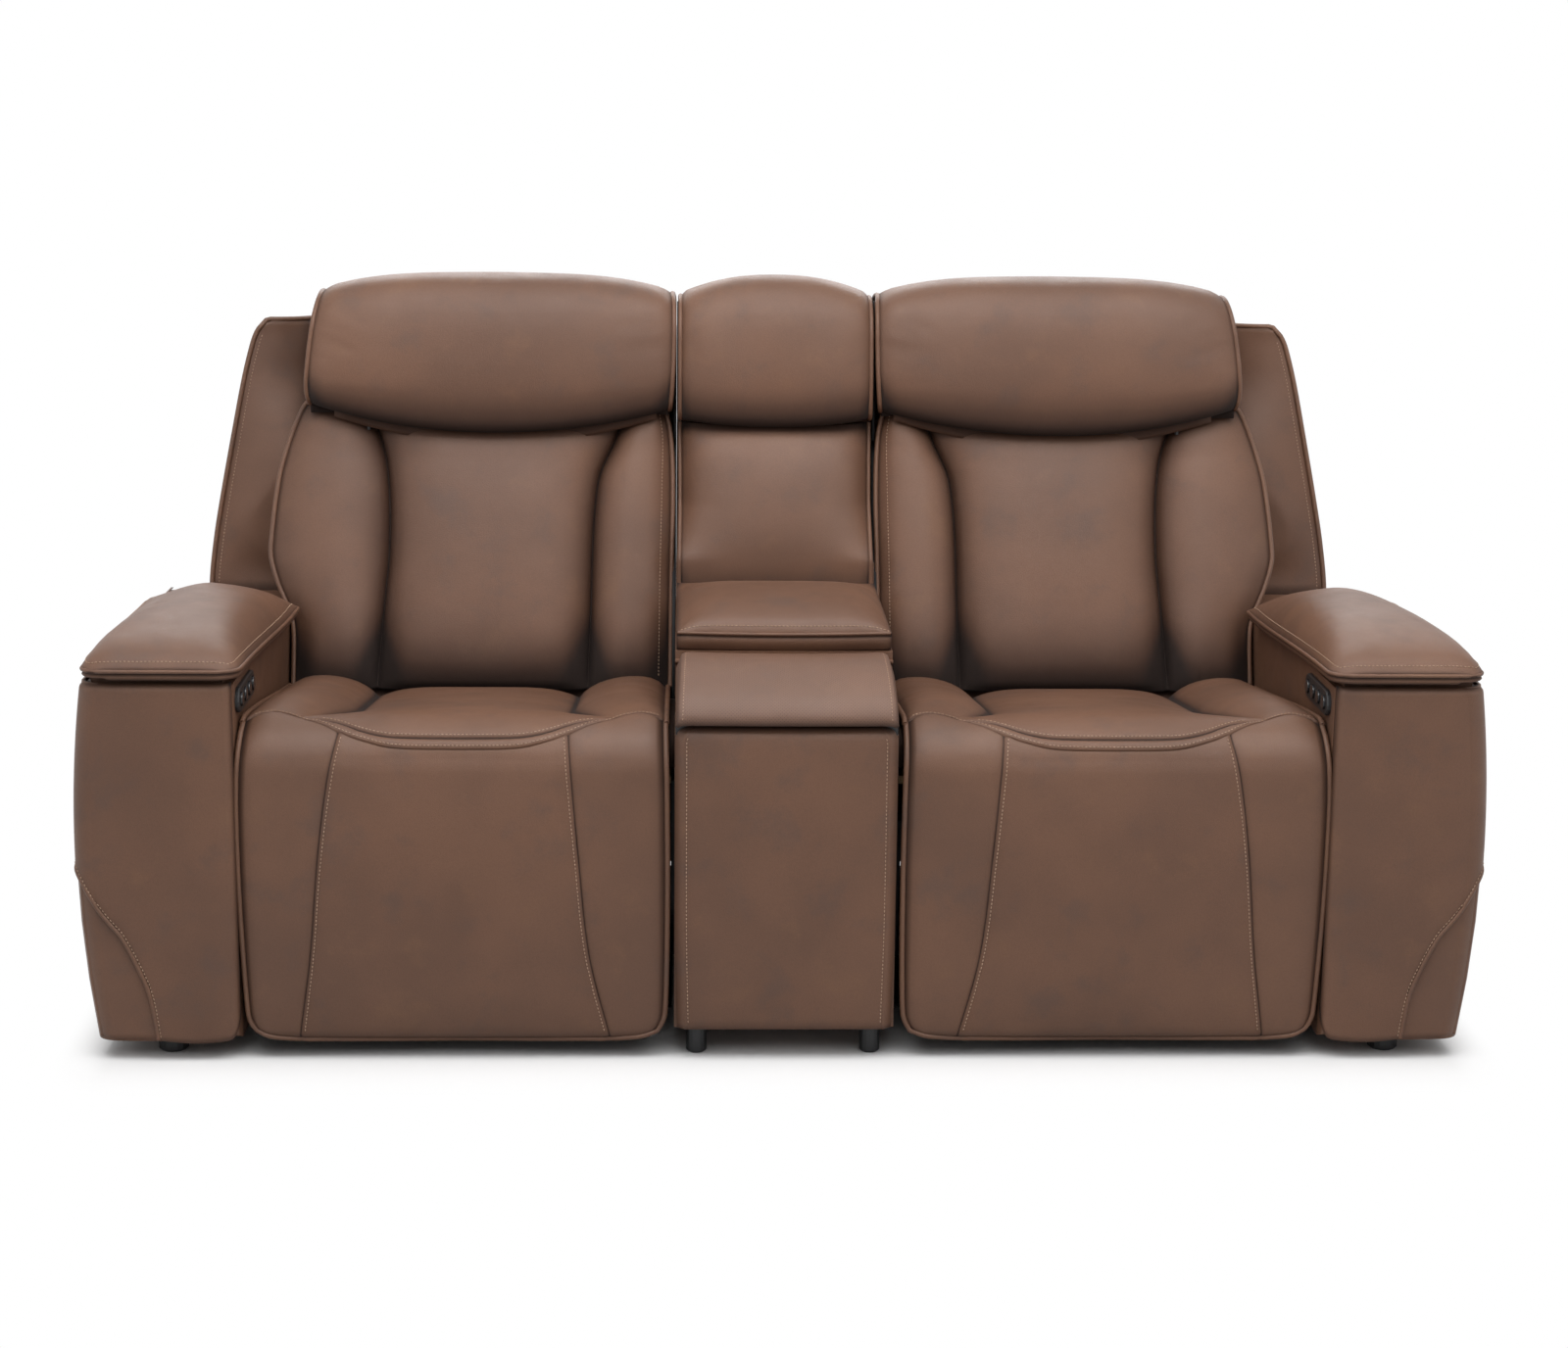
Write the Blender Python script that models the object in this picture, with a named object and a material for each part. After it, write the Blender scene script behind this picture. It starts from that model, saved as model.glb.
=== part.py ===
"""Power reclining loveseat: two reclining seats, padded storage arms and a centre console.

The part stands on its feet with its origin on the floor at the middle of its outline.
X runs along the seats, the front faces -Y and Z is up. Lengths are in metres.
Each seat is drawn once, on the +X side, and mirrored for the seat on the -X side.
"""

from math import cos, exp, hypot, pi, radians, sin, sqrt

import bmesh
import bpy
from mathutils import Vector

# Widths along X
CONSOLE_WIDTH = 0.322
SEAT_BAY = 0.629
ARM_WIDTH = 0.214
ARM_BOW = 0.0195

# Depths along Y
BOX_FRONT = -0.500
LID_FRONT = -0.520
ARM_REAR = 0.250
BASE_REAR = 0.400
PANEL_PAD = 0.018

# Heights along Z
BOX_BOTTOM = 0.030
CONSOLE_BOTTOM = 0.045
ARM_HEIGHT = 0.557
BASE_REAR_HEIGHT = 0.230
CONSOLE_HEIGHT = 0.578
CUP_DECK_HEIGHT = 0.485

# Clearances and sheet thicknesses
FIT = 0.0003
RUNNING_GAP = 0.0007
SIDE_GAP = 0.010
BACK_GAP = 0.0056
PILLOW_GAP = 0.0025
LID_GAP = 0.0005
HOLE_CLEARANCE = 0.0005
PLATE = 0.005
LINK_PLATE = 0.006
PLATE_DEPTH = 0.285
BOARD = 0.012

# Arm storage and lid
BIN_WALL = 0.022
BIN_FLOOR = 0.250
BIN_FRONT_WALL = 0.045
RIM_HEIGHT = 0.0175
RIM_INSET = 0.014
ARM_LID_REAR = 0.060
ARM_LID_EDGE = 0.014
ARM_LID_CROWN = 0.050
ARM_LID_PEAK = 0.450
ARM_LID_OVERHANG = 0.003

# Push buttons
BUTTON_COUNT = 4
BUTTON_RADIUS = 0.0105
BUTTON_PITCH = 0.036
BUTTON_TRAVEL = 0.0015
BUTTON_PROUD = 0.003
BUTTON_ROW = -0.394
BUTTON_DROP = 0.030
BEZEL_HEIGHT = 0.038
BEZEL_THICKNESS = 0.006

# Seat and footrest
SEAT_HEIGHT = 0.500
SEAT_FALL = 0.134
SEAT_THICKNESS = 0.080
NOSE_RADIUS = 0.070
SEAT_REAR = 0.060
SEAT_CREASE = 0.168
CENTRE_CROWN = 0.005
BOLSTER_CROWN = 0.021
CREASE_DEPTH = 0.014
FOOTREST_HINGE = Vector((0.0, -0.485, SEAT_HEIGHT - 0.015))
FOOTREST_TOP = SEAT_HEIGHT - 0.095
FOOTREST_BOTTOM = 0.030
FOOTREST_FRONT = -0.503
FOOTREST_PAD = 0.046
FOOTREST_CORNER = 0.040

# Footrest linkage
CRANK_PIVOT = Vector((0.0, -0.335, SEAT_HEIGHT - 0.185))
LINK_PIN = Vector((0.0, -0.425, SEAT_HEIGHT - 0.230))
TORQUE_TUBE_RADIUS = 0.0125
BOSS_RADIUS = 0.016
CROSS_ROD_RADIUS = 0.007
LEVER_RADIUS = 0.075
LEVER_PLATE = 0.008
FOOTREST_TURN = 88.0
YOKE_CLEARANCE = 0.0028
LEVER_PIN_RADIUS = 0.005

# Actuator
RAIL_FRONT = -0.420
RAIL_REAR = 0.000
RAIL_WIDTH = 0.024
RAIL_HEIGHT = 0.028
RAIL_TOP = CRANK_PIVOT.z - 0.120
MOTOR_LENGTH = 0.110
MOTOR_RADIUS = 0.028
GEARBOX_LENGTH = 0.070

# Back
BACK_PIVOT = Vector((0.0, 0.150, SEAT_HEIGHT - 0.125))
BACK_BOTTOM = SEAT_HEIGHT - 0.155
BACK_TOP = 1.000
BACK_REAR_TOP = 0.5273
BACK_REAR_BOTTOM = 0.430
CUSHION_BOTTOM = SEAT_HEIGHT - 0.063
CUSHION_TOP = 0.832
CUSHION_BACKING = 0.2786
BACK_LEAN = 0.3256
CUSHION_EDGE = 0.070
BACK_CROWN = 0.045
CHANNEL_DEPTH = 0.020
CHANNEL_HALF = 0.171
CHANNEL_SPLAY = 0.032
BACK_WAIST = 0.775
BACK_BULGE = 0.045
WING_TOP = 0.866
WING_BOTTOM = 0.945
WING_GAP = 0.018
WING_LEAN = 0.188
WING_KNEE = 0.450
WING_UNDERCUT = 0.450
WING_ROUND = 0.020
REAR_ROUND = 0.040
EAR_PLATE = 0.009

# Headrest
HEADREST_PIVOT = Vector((0.0, 0.190, CUSHION_TOP + 0.016))
HEADREST_TOP = 1.090
HEADREST_OUTER = 0.765
HEADREST_PLATE = 0.006
CRADLE_DROP = 0.105
HEADREST_DEPTH = 0.158
HEADREST_WALL = 0.352
HEADREST_WALL_LEAN = 0.100
STRAP_PLATE = 0.005
STRAP_REACH = 0.190
CRADLE_REACH = 0.235

# Console
CONSOLE_LID_FRONT = -0.345
CONSOLE_LID_REAR = 0.098
CONSOLE_LID_HEIGHT = 0.062
LID_SIDE_FALL = 0.014
CONSOLE_BIN_WALL = 0.026
CONSOLE_BIN_FLOOR = 0.250
CUP_RADIUS = 0.0410
CUP_WALL = 0.0015
CUP_DEPTH = 0.072
CUP_SPACING = 0.148
CUP_ROW = -0.425
TRAY_THICKNESS = 0.0147
FLAP_THICKNESS = 0.014
FLAP_HINGE_DROP = 0.0033
GUSSET = 0.008
CONSOLE_CUSHION_BOTTOM = 0.645

# Feet
FOOT_RADIUS = 0.022
CONSOLE_FOOT_RADIUS = 0.015

# Places that follow from the sizes above
console_side = CONSOLE_WIDTH / 2
seat_inner = console_side + SIDE_GAP
arm_inner = console_side + SEAT_BAY
arm_outer = arm_inner + ARM_WIDTH
seat_outer = arm_inner - SIDE_GAP
back_inner = console_side + BACK_GAP
seat_middle = (seat_inner + seat_outer) / 2
seat_half = (seat_outer - seat_inner) / 2
plate_inner = console_side + FIT + PLATE
plate_outer = arm_inner - FIT - PLATE
back_ledge = CUSHION_TOP + 0.006

LEATHER = ((0.165, 0.088, 0.054, 1.0), 0.48, 0.0)
BLACK_PLASTIC = ((0.012, 0.012, 0.013, 1.0), 0.30, 0.0)
STEEL = ((0.060, 0.060, 0.065, 1.0), 0.42, 1.0)
STAINLESS = ((0.550, 0.550, 0.560, 1.0), 0.25, 1.0)
PLYWOOD = ((0.420, 0.270, 0.140, 1.0), 0.70, 0.0)


def fresh_scene():
    """Empty the scene of objects."""
    for thing in list(bpy.data.objects):
        bpy.data.objects.remove(thing, do_unlink=True)


def face_outward(bm):
    """Make the faces of a closed body agree and point out."""
    bmesh.ops.recalc_face_normals(bm, faces=bm.faces)
    if bm.calc_volume(signed=True) < 0:
        bmesh.ops.reverse_faces(bm, faces=bm.faces)


def finish(name, bm, look, side=1, pivot=None, parent=None):
    """Turn a bmesh into the named object, mirrored for side -1, with its origin on its pivot."""
    origin = Vector(pivot) if pivot else Vector()
    if side < 0:
        bmesh.ops.scale(bm, vec=(-1, 1, 1), verts=bm.verts)
        origin.x = -origin.x
    bmesh.ops.translate(bm, vec=-origin, verts=bm.verts)
    face_outward(bm)
    mesh = bpy.data.meshes.new(name)
    bm.to_mesh(mesh)
    bm.free()
    mesh.shade_smooth()
    mesh.set_sharp_from_angle(angle=radians(35))
    thing = bpy.data.objects.new(name, mesh)
    bpy.context.scene.collection.objects.link(thing)
    thing.location = origin
    if parent:
        thing.parent = parent
        thing.location = origin - parent.location
    colour, roughness, metallic = look
    material = bpy.data.materials.new(name)
    material.use_nodes = True
    shader = material.node_tree.nodes["Principled BSDF"]
    shader.inputs["Base Color"].default_value = colour
    shader.inputs["Roughness"].default_value = roughness
    shader.inputs["Metallic"].default_value = metallic
    mesh.materials.append(material)
    return thing


def axis_at(name, point, side=1):
    """An empty on a joint's axis, for the pieces that turn or slide with it."""
    empty = bpy.data.objects.new(name, None)
    empty.location = (point[0] * side, point[1], point[2])
    empty.empty_display_size = 0.05
    bpy.context.scene.collection.objects.link(empty)
    return empty


def boolean(base, tool, operation):
    """Join or cut two bmeshes exactly, and use them up."""
    things = []
    for bm in (base, tool):
        face_outward(bm)
        mesh = bpy.data.meshes.new("shape")
        bm.to_mesh(mesh)
        bm.free()
        thing = bpy.data.objects.new("shape", mesh)
        bpy.context.scene.collection.objects.link(thing)
        things.append(thing)
    modifier = things[0].modifiers.new(operation.lower(), "BOOLEAN")
    modifier.operation = operation
    modifier.object = things[1]
    result = bmesh.new()
    result.from_object(things[0], bpy.context.evaluated_depsgraph_get())
    for thing in things:
        bpy.data.objects.remove(thing, do_unlink=True)
    return result


def fuse(base, *tools):
    """Join further shapes to the first."""
    for tool in tools:
        base = boolean(base, tool, "UNION")
    return base


def cut(base, *tools):
    """Cut shapes out of the first."""
    for tool in tools:
        base = boolean(base, tool, "DIFFERENCE")
    return base


def prism(outline, low, high, axis="x"):
    """Extrude a closed outline along an axis, its two coordinates being the other two axes."""
    bm = bmesh.new()
    slots = {"x": (0, 1, 2), "y": (1, 0, 2), "z": (2, 0, 1)}[axis]

    def point(a, b, along):
        co = [0.0, 0.0, 0.0]
        co[slots[0]], co[slots[1]], co[slots[2]] = along, a, b
        return co

    face = bm.faces.new([bm.verts.new(point(a, b, low)) for a, b in outline])
    grown = bmesh.ops.extrude_face_region(bm, geom=[face])["geom"]
    far = [g for g in grown if isinstance(g, bmesh.types.BMVert)]
    step = Vector(point(0, 0, high - low))
    bmesh.ops.translate(bm, vec=step, verts=far)
    return bm


def block(low, high):
    """A box between two corners."""
    return prism(
        [(low[1], low[2]), (high[1], low[2]), (high[1], high[2]), (low[1], high[2])], low[0], high[0]
    )


def rod(start, end, radius, sides=16):
    """A round bar between two points along one axis."""
    start, end = Vector(start), Vector(end)
    bm = bmesh.new()
    way = end - start
    bmesh.ops.create_cone(
        bm, cap_ends=True, segments=sides, radius1=radius, radius2=radius, depth=way.length
    )
    bmesh.ops.rotate(bm, matrix=way.to_track_quat("Z", "Y").to_matrix(), verts=bm.verts)
    bmesh.ops.translate(bm, vec=(start + end) / 2, verts=bm.verts)
    return bm


def soften(bm, chosen, offset, segments=2):
    """Round the chosen edges."""
    edges = [e for e in bm.edges if chosen(*[v.co for v in e.verts])]
    bmesh.ops.bevel(
        bm, geom=edges, offset=offset, segments=segments, profile=0.5, affect="EDGES", material=-1
    )
    return bm


def rounded(corners, radius, steps=3):
    """Fillet the corners of an outline given in order, each with the radius or its own (a, b, radius)."""
    outline = []
    for i, corner in enumerate(corners):
        here = Vector(corner[:2])
        r = corner[2] if len(corner) > 2 else radius
        if r <= 0:
            outline.append(tuple(here))
            continue
        back = (Vector(corners[i - 1][:2]) - here).normalized()
        ahead = (Vector(corners[(i + 1) % len(corners)][:2]) - here).normalized()
        half = back.angle(ahead) / 2
        middle = here + (back + ahead).normalized() * (r / sin(half))
        first = here + back * (r / (sin(half) / cos(half))) - middle
        last = here + ahead * (r / (sin(half) / cos(half))) - middle
        for k in range(steps + 1):
            spoke = first.lerp(last, k / steps).normalized() * r
            outline.append(tuple(middle + spoke))
    return outline


def bar_outline(start, end, radius, steps=5):
    """The outline in Y and Z of a flat bar with a round end about each of two pins."""
    a = Vector((start.y, start.z))
    b = Vector((end.y, end.z))
    along = (b - a).normalized()
    across = Vector((-along.y, along.x))
    outline = []
    for centre, turn in ((a, 1), (b, -1)):
        for k in range(steps + 1):
            angle = pi * k / steps
            outline.append(
                tuple(centre + across * (turn * radius * cos(angle)) - along * (turn * radius * sin(angle)))
            )
    return outline


def pad(across, along, face, backing, draw):
    """A crowned face closed over a plainer backing, with its sides drawn in between them.

    face(s, t) and backing(s, t) give points for s and t from -1 to 1.
    """
    bm = bmesh.new()
    bmesh.ops.create_grid(bm, x_segments=across, y_segments=along, size=1.0)
    grid = {v: (v.co.x, v.co.y) for v in bm.verts}
    middle = sum((backing(s, t) for s, t in grid.values()), Vector()) / len(grid)
    for v, (s, t) in grid.items():
        v.co = face(s, t)
    for share, pull in ((0.5, draw), (1.0, 0.0)):
        rim = [e for e in bm.edges if e.is_boundary]
        grown = bmesh.ops.extrude_edge_only(bm, edges=rim)["geom"]
        ring = {}
        for v in (g for g in grown if isinstance(g, bmesh.types.BMVert)):
            ring[v] = next(grid[e.other_vert(v)] for e in v.link_edges if e.other_vert(v) in grid)
        for v, (s, t) in ring.items():
            v.co = face(s, t).lerp(backing(s, t), share)
            v.co += (middle - v.co).normalized() * pull
        grid.update(ring)
    bmesh.ops.holes_fill(bm, edges=[e for e in bm.edges if e.is_boundary])
    return bm


def loft(rings):
    """Close a body over a row of rings that all have the same number of points."""
    bm = bmesh.new()
    loops = [[bm.verts.new(p) for p in ring] for ring in rings]
    for near, far in zip(loops, loops[1:]):
        for i in range(len(near)):
            j = (i + 1) % len(near)
            bm.faces.new((near[i], near[j], far[j], far[i]))
    bm.faces.new(loops[0][::-1])
    bm.faces.new(loops[-1])
    bmesh.ops.triangulate(bm, faces=bm.faces)
    return bm


def turned(profile, centre, sides=20):
    """Spin a closed profile of (radius, height) points about an upright axis."""
    bm = bmesh.new()
    verts = [bm.verts.new((r, 0.0, z)) for r, z in profile]
    edges = [bm.edges.new((verts[i], verts[(i + 1) % len(verts)])) for i in range(len(verts))]
    bmesh.ops.spin(
        bm, geom=verts + edges, cent=(0, 0, 0), axis=(0, 0, 1), angle=2 * pi, steps=sides, use_merge=True
    )
    bmesh.ops.remove_doubles(bm, verts=bm.verts, dist=0.00001)
    bmesh.ops.translate(bm, vec=centre, verts=bm.verts)
    return bm


def along_path(path, t):
    """The point at t from -1 to 1 along a list of points, evenly by their order."""
    place = (t + 1) / 2 * (len(path) - 1)
    k = min(int(place), len(path) - 2)
    return path[k].lerp(path[k + 1], place - k)


def arc(centre, radius, start, end, steps):
    """Points (x unused, y, z) on an arc, with angles in degrees from +Y towards +Z."""
    turn = [radians(start + (end - start) * k / steps) for k in range(steps + 1)]
    return [Vector((0, centre[0] + radius * cos(a), centre[1] + radius * sin(a))) for a in turn]


def bump(value, centre, width):
    """A smooth hump of height 1."""
    return exp(-(((value - centre) / width) ** 2))


def seat_base(y):
    """Height of the seat cushion's underside, which falls towards the back."""
    return SEAT_HEIGHT - SEAT_THICKNESS - SEAT_FALL * (y - BOX_FRONT)


def backing_line(z):
    """Y of the plane that the back cushions lie on, set out from its top."""
    return CUSHION_BACKING + BACK_LEAN * (z - CUSHION_TOP)


def back_rear(z):
    """Y of the rear face of the backs, which leans a little less than the cushions."""
    slope = (BACK_REAR_TOP - BACK_REAR_BOTTOM) / (BACK_TOP - BACK_BOTTOM)
    return BACK_REAR_BOTTOM + slope * (z - BACK_BOTTOM)


def headrest_wall(z):
    """Y of the backs' face behind the headrests, above the ledge."""
    return HEADREST_WALL + HEADREST_WALL_LEAN * (z - back_ledge)


def arm_outline(drop=0.0):
    """The arm box seen from the front, bowed on its outer side; drop lowers its top."""
    top = ARM_HEIGHT - drop
    steps = 6
    outline = [(arm_inner, BOX_BOTTOM)]
    for k in range(steps + 1):
        t = k / steps
        outline.append(
            (arm_outer - 0.006 * (1 - t) + ARM_BOW * 4 * t * (1 - t), BOX_BOTTOM + (top - BOX_BOTTOM) * t)
        )
    outline.append((arm_inner, top))
    return outline


def arm_box(name, side):
    """The arm: a bowed box with a storage bin under its lid, lower where the back swings behind it."""
    body = prism(arm_outline(), BOX_FRONT, ARM_REAR, "y")
    at_front = lambda p: abs(p.y - BOX_FRONT) < 1e-5
    soften(body, lambda p, q: at_front(p) and at_front(q), 0.016, 2)
    rear = prism(arm_outline(ARM_HEIGHT - BASE_REAR_HEIGHT), ARM_REAR - 0.02, BASE_REAR, "y")
    rim = block(
        (arm_inner + RIM_INSET, BOX_FRONT + RIM_INSET, ARM_HEIGHT - 0.01),
        (arm_outer - RIM_INSET, ARM_LID_REAR - RIM_INSET, ARM_HEIGHT + RIM_HEIGHT),
    )
    hollow = block(
        (arm_inner + RIM_INSET + BIN_WALL, BOX_FRONT + BIN_FRONT_WALL, BIN_FLOOR),
        (arm_outer - RIM_INSET - BIN_WALL, ARM_LID_REAR - BIN_FRONT_WALL, ARM_HEIGHT + 0.05),
    )
    finish(name, cut(fuse(body, rear, rim), hollow), LEATHER, side)


def arm_lid(name, side):
    """The padded lid, hinged along its outer side."""
    bottom = ARM_HEIGHT + RIM_HEIGHT + LID_GAP
    inner = arm_inner - ARM_LID_OVERHANG
    outer = arm_outer - 0.001
    middle = (inner + outer) / 2
    half = (outer - inner) / 2
    length = ARM_LID_REAR - LID_FRONT
    corner = 0.030

    def plan(s, t):
        y = LID_FRONT + length * (t + 1) / 2
        near = max(0.0, corner - min(y - LID_FRONT, ARM_LID_REAR - y))
        narrow = half - (corner - sqrt(max(0.0, corner**2 - near**2))) * 0.55
        return Vector((middle + narrow * s, y, 0.0))

    def face(s, t):
        p = plan(s, t)
        run = (p.y - LID_FRONT) / length
        rise = 1 - (1 - min(run / ARM_LID_PEAK, 1.0)) ** 2
        fall = 1 - 0.8 * max(0.0, (run - ARM_LID_PEAK) / (1 - ARM_LID_PEAK)) ** 1.3
        p.z = bottom + ARM_LID_EDGE + ARM_LID_CROWN * rise * fall * (1 - abs(s) ** 2.6)
        return p

    def backing(s, t):
        p = plan(s, t)
        p.z = bottom
        return p

    hinge = (arm_outer - 0.012, (LID_FRONT + ARM_LID_REAR) / 2, ARM_HEIGHT + RIM_HEIGHT - 0.003)
    finish(name, pad(8, 12, face, backing, 0.0015), LEATHER, side, hinge)


def control_plate(name, side):
    """The oval bezel let in above the seat, with a hole for each button."""
    low = arm_inner - FIT - BEZEL_THICKNESS
    reach = (BUTTON_COUNT - 1) / 2 * BUTTON_PITCH + 0.004
    middle = Vector((0, BUTTON_ROW, ARM_HEIGHT - BUTTON_DROP))
    front = middle - Vector((0, reach, 0))
    back = middle + Vector((0, reach, 0))
    plate = prism(bar_outline(front, back, BEZEL_HEIGHT / 2, 8), low, arm_inner - FIT)
    soften(plate, lambda p, q: abs(p.x - low) < 1e-6 and abs(q.x - low) < 1e-6, 0.002, 1)
    for number in range(BUTTON_COUNT):
        centre = button_centre(number)
        plate = cut(
            plate,
            rod(centre - Vector((0.05, 0, 0)), centre + Vector((0.05, 0, 0)), BUTTON_RADIUS + HOLE_CLEARANCE),
        )
    finish(name, plate, BLACK_PLASTIC, side)


def button_centre(number):
    """The middle of a button on the arm's inner wall, counted from the front."""
    step = (number - (BUTTON_COUNT - 1) / 2) * BUTTON_PITCH
    return Vector((arm_inner, BUTTON_ROW + step, ARM_HEIGHT - BUTTON_DROP))


def button(name, side, number):
    """One round button with a domed face and room behind it to travel."""
    face = arm_inner - FIT - BEZEL_THICKNESS - BUTTON_PROUD
    back = arm_inner - FIT - BUTTON_TRAVEL - 0.001
    centre = button_centre(number)
    bm = rod((face, centre.y, centre.z), (back, centre.y, centre.z), BUTTON_RADIUS, 16)
    soften(bm, lambda p, q: abs(p.x - face) < 1e-6 and abs(q.x - face) < 1e-6, 0.0015, 2)
    finish(name, bm, BLACK_PLASTIC, side, (face, centre.y, centre.z))


def seat_path():
    """The seat's top from its back edge over the nose to the leading edge's underside."""
    nose_y = BOX_FRONT + NOSE_RADIUS
    nose_z = SEAT_HEIGHT - NOSE_RADIUS
    rear_top = Vector((0, SEAT_REAR, SEAT_HEIGHT - SEAT_FALL * 0.9 * (SEAT_REAR - nose_y)))
    front_top = Vector((0, nose_y, SEAT_HEIGHT))
    path = [rear_top.lerp(front_top, k / 8) for k in range(8)]
    path += arc((nose_y, nose_z), NOSE_RADIUS, 90, 180, 5)
    path.append(Vector((0, BOX_FRONT, seat_base(BOX_FRONT))))
    return path


def seat_cushion(name, side):
    """A crowned centre between two bolsters, rolling over the nose."""
    path = seat_path()

    def face(s, t):
        p = along_path(path, t)
        offset = abs(s) * seat_half
        if offset < SEAT_CREASE:
            rise = CENTRE_CROWN * (1 - (offset / SEAT_CREASE) ** 2)
        else:
            rise = BOLSTER_CROWN * sin(pi * (offset - SEAT_CREASE) / (seat_half - SEAT_CREASE))
        rise -= CREASE_DEPTH * bump(offset, SEAT_CREASE, 0.022)
        over = max(0.0, (BOX_FRONT + NOSE_RADIUS * 1.6 - p.y) / (NOSE_RADIUS * 1.6))
        p.z += rise * max(0.0, 1 - over) ** 1.5
        p.x = seat_middle + s * seat_half
        return p

    def backing(s, t):
        y = BOX_FRONT + (SEAT_REAR - BOX_FRONT) * (1 - t) / 2
        return Vector((seat_middle + s * (seat_half - 0.004), y, seat_base(y)))

    finish(name, pad(16, len(path) - 1, face, backing, 0.004), LEATHER, side)


def seat_deck(name, side):
    """The sloping board that carries the seat cushion, lying on the side plates' flanges."""
    front = BOX_FRONT + FOOTREST_PAD + BOARD + 0.012
    lines = []
    for y in (front, SEAT_REAR + 0.03):
        lines.append((y, seat_base(y) - FIT))
    lines += [(y, z - BOARD) for y, z in reversed(lines)]
    finish(name, prism(lines, plate_inner + FIT, plate_outer - FIT), PLYWOOD, side)


def deck_underside(y):
    """Height of the deck's underside."""
    return seat_base(y) - FIT - BOARD


def side_plate(name, side, outer):
    """A mechanism plate bolted to the arm or the console: web, flange under the deck, pivot ears."""
    inward = -1 if outer else 1
    wall = arm_inner - FIT if outer else console_side + FIT
    web_face = wall + inward * PLATE
    front = CRANK_PIVOT.y - 0.055
    rear = BACK_PIVOT.y + 0.045
    low = BACK_PIVOT.z - PLATE_DEPTH
    outline = rounded(
        [
            (front, deck_underside(front) - FIT),
            (front, low + 0.10, 0.030),
            (front + 0.10, low, 0.030),
            (rear - 0.02, low, 0.030),
            (rear, low + 0.11, 0.030),
            (rear - 0.018, BACK_PIVOT.z + 0.018, 0.020),
            (rear - 0.078, BACK_PIVOT.z + 0.018, 0.020),
            (rear - 0.095, deck_underside(rear - 0.095) - FIT, 0.0),
        ],
        0.0,
    )
    plate = prism(outline, min(wall, web_face), max(wall, web_face))
    flange_end = wall + inward * 0.028
    flange_rear = BACK_PIVOT.y - 0.055
    slope = [(front, deck_underside(front) - FIT), (flange_rear, deck_underside(flange_rear) - FIT)]
    slope += [(y, z - PLATE) for y, z in reversed(slope)]
    flange = prism(slope, min(wall + inward * 0.001, flange_end), max(wall + inward * 0.001, flange_end))
    boss = rod(
        (wall + inward * 0.001, CRANK_PIVOT.y, CRANK_PIVOT.z),
        (web_face + inward * LINK_PLATE, CRANK_PIVOT.y, CRANK_PIVOT.z),
        BOSS_RADIUS,
    )
    finish(name, fuse(plate, flange, boss), STEEL, side)


def lane(outer, number):
    """The two faces in X of a link plate: 0 the crank, 1 the link, 2 the footrest's ear."""
    inward = -1 if outer else 1
    start = plate_outer if outer else plate_inner
    near = start + inward * (LINK_PLATE + FIT + number * (LINK_PLATE + RUNNING_GAP))
    return sorted((near, near + inward * LINK_PLATE))


def crank_pin():
    """The pin between crank and link, which makes a parallelogram with the footrest's hinge."""
    return LINK_PIN + (CRANK_PIVOT - FOOTREST_HINGE)


def crank_frame(name, side, parent):
    """Torque tube with a crank at each side and the lever that the actuator pushes."""
    x_inner = lane(False, 0)
    x_outer = lane(True, 0)
    frame = rod(
        (x_inner[0], CRANK_PIVOT.y, CRANK_PIVOT.z),
        (x_outer[1], CRANK_PIVOT.y, CRANK_PIVOT.z),
        TORQUE_TUBE_RADIUS,
    )
    for low, high in (x_inner, x_outer):
        frame = fuse(frame, prism(bar_outline(CRANK_PIVOT, crank_pin(), BOSS_RADIUS), low, high))
    lever_end = CRANK_PIVOT + Vector(
        (0, LEVER_RADIUS * sin(lever_swing()), -LEVER_RADIUS * cos(lever_swing()))
    )
    lever = prism(
        bar_outline(CRANK_PIVOT, lever_end, BOSS_RADIUS),
        seat_middle - LEVER_PLATE / 2,
        seat_middle + LEVER_PLATE / 2,
    )
    reach = LEVER_PLATE / 2 + RUNNING_GAP + 0.006
    pin = rod(
        (seat_middle - reach, lever_end.y, lever_end.z),
        (seat_middle + reach, lever_end.y, lever_end.z),
        LEVER_PIN_RADIUS,
        12,
    )
    finish(name, fuse(frame, lever, pin), STEEL, side, CRANK_PIVOT, parent)


def lever_swing():
    """The lever leans back by half the footrest's turn at rest, in radians."""
    return radians(FOOTREST_TURN / 2)


def link_frame(name, side, parent):
    """A link at each side from the crank to the footrest, joined by a cross rod."""
    pin = crank_pin()
    x_inner = lane(False, 1)
    x_outer = lane(True, 1)
    frame = rod(
        (x_inner[0] + 0.001, pin.y, pin.z), (x_outer[1] - 0.001, pin.y, pin.z), CROSS_ROD_RADIUS, 12
    )
    for low, high in (x_inner, x_outer):
        frame = fuse(frame, prism(bar_outline(pin, LINK_PIN, BOSS_RADIUS * 0.85), low, high))
    finish(name, frame, STEEL, side, pin, parent)


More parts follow.
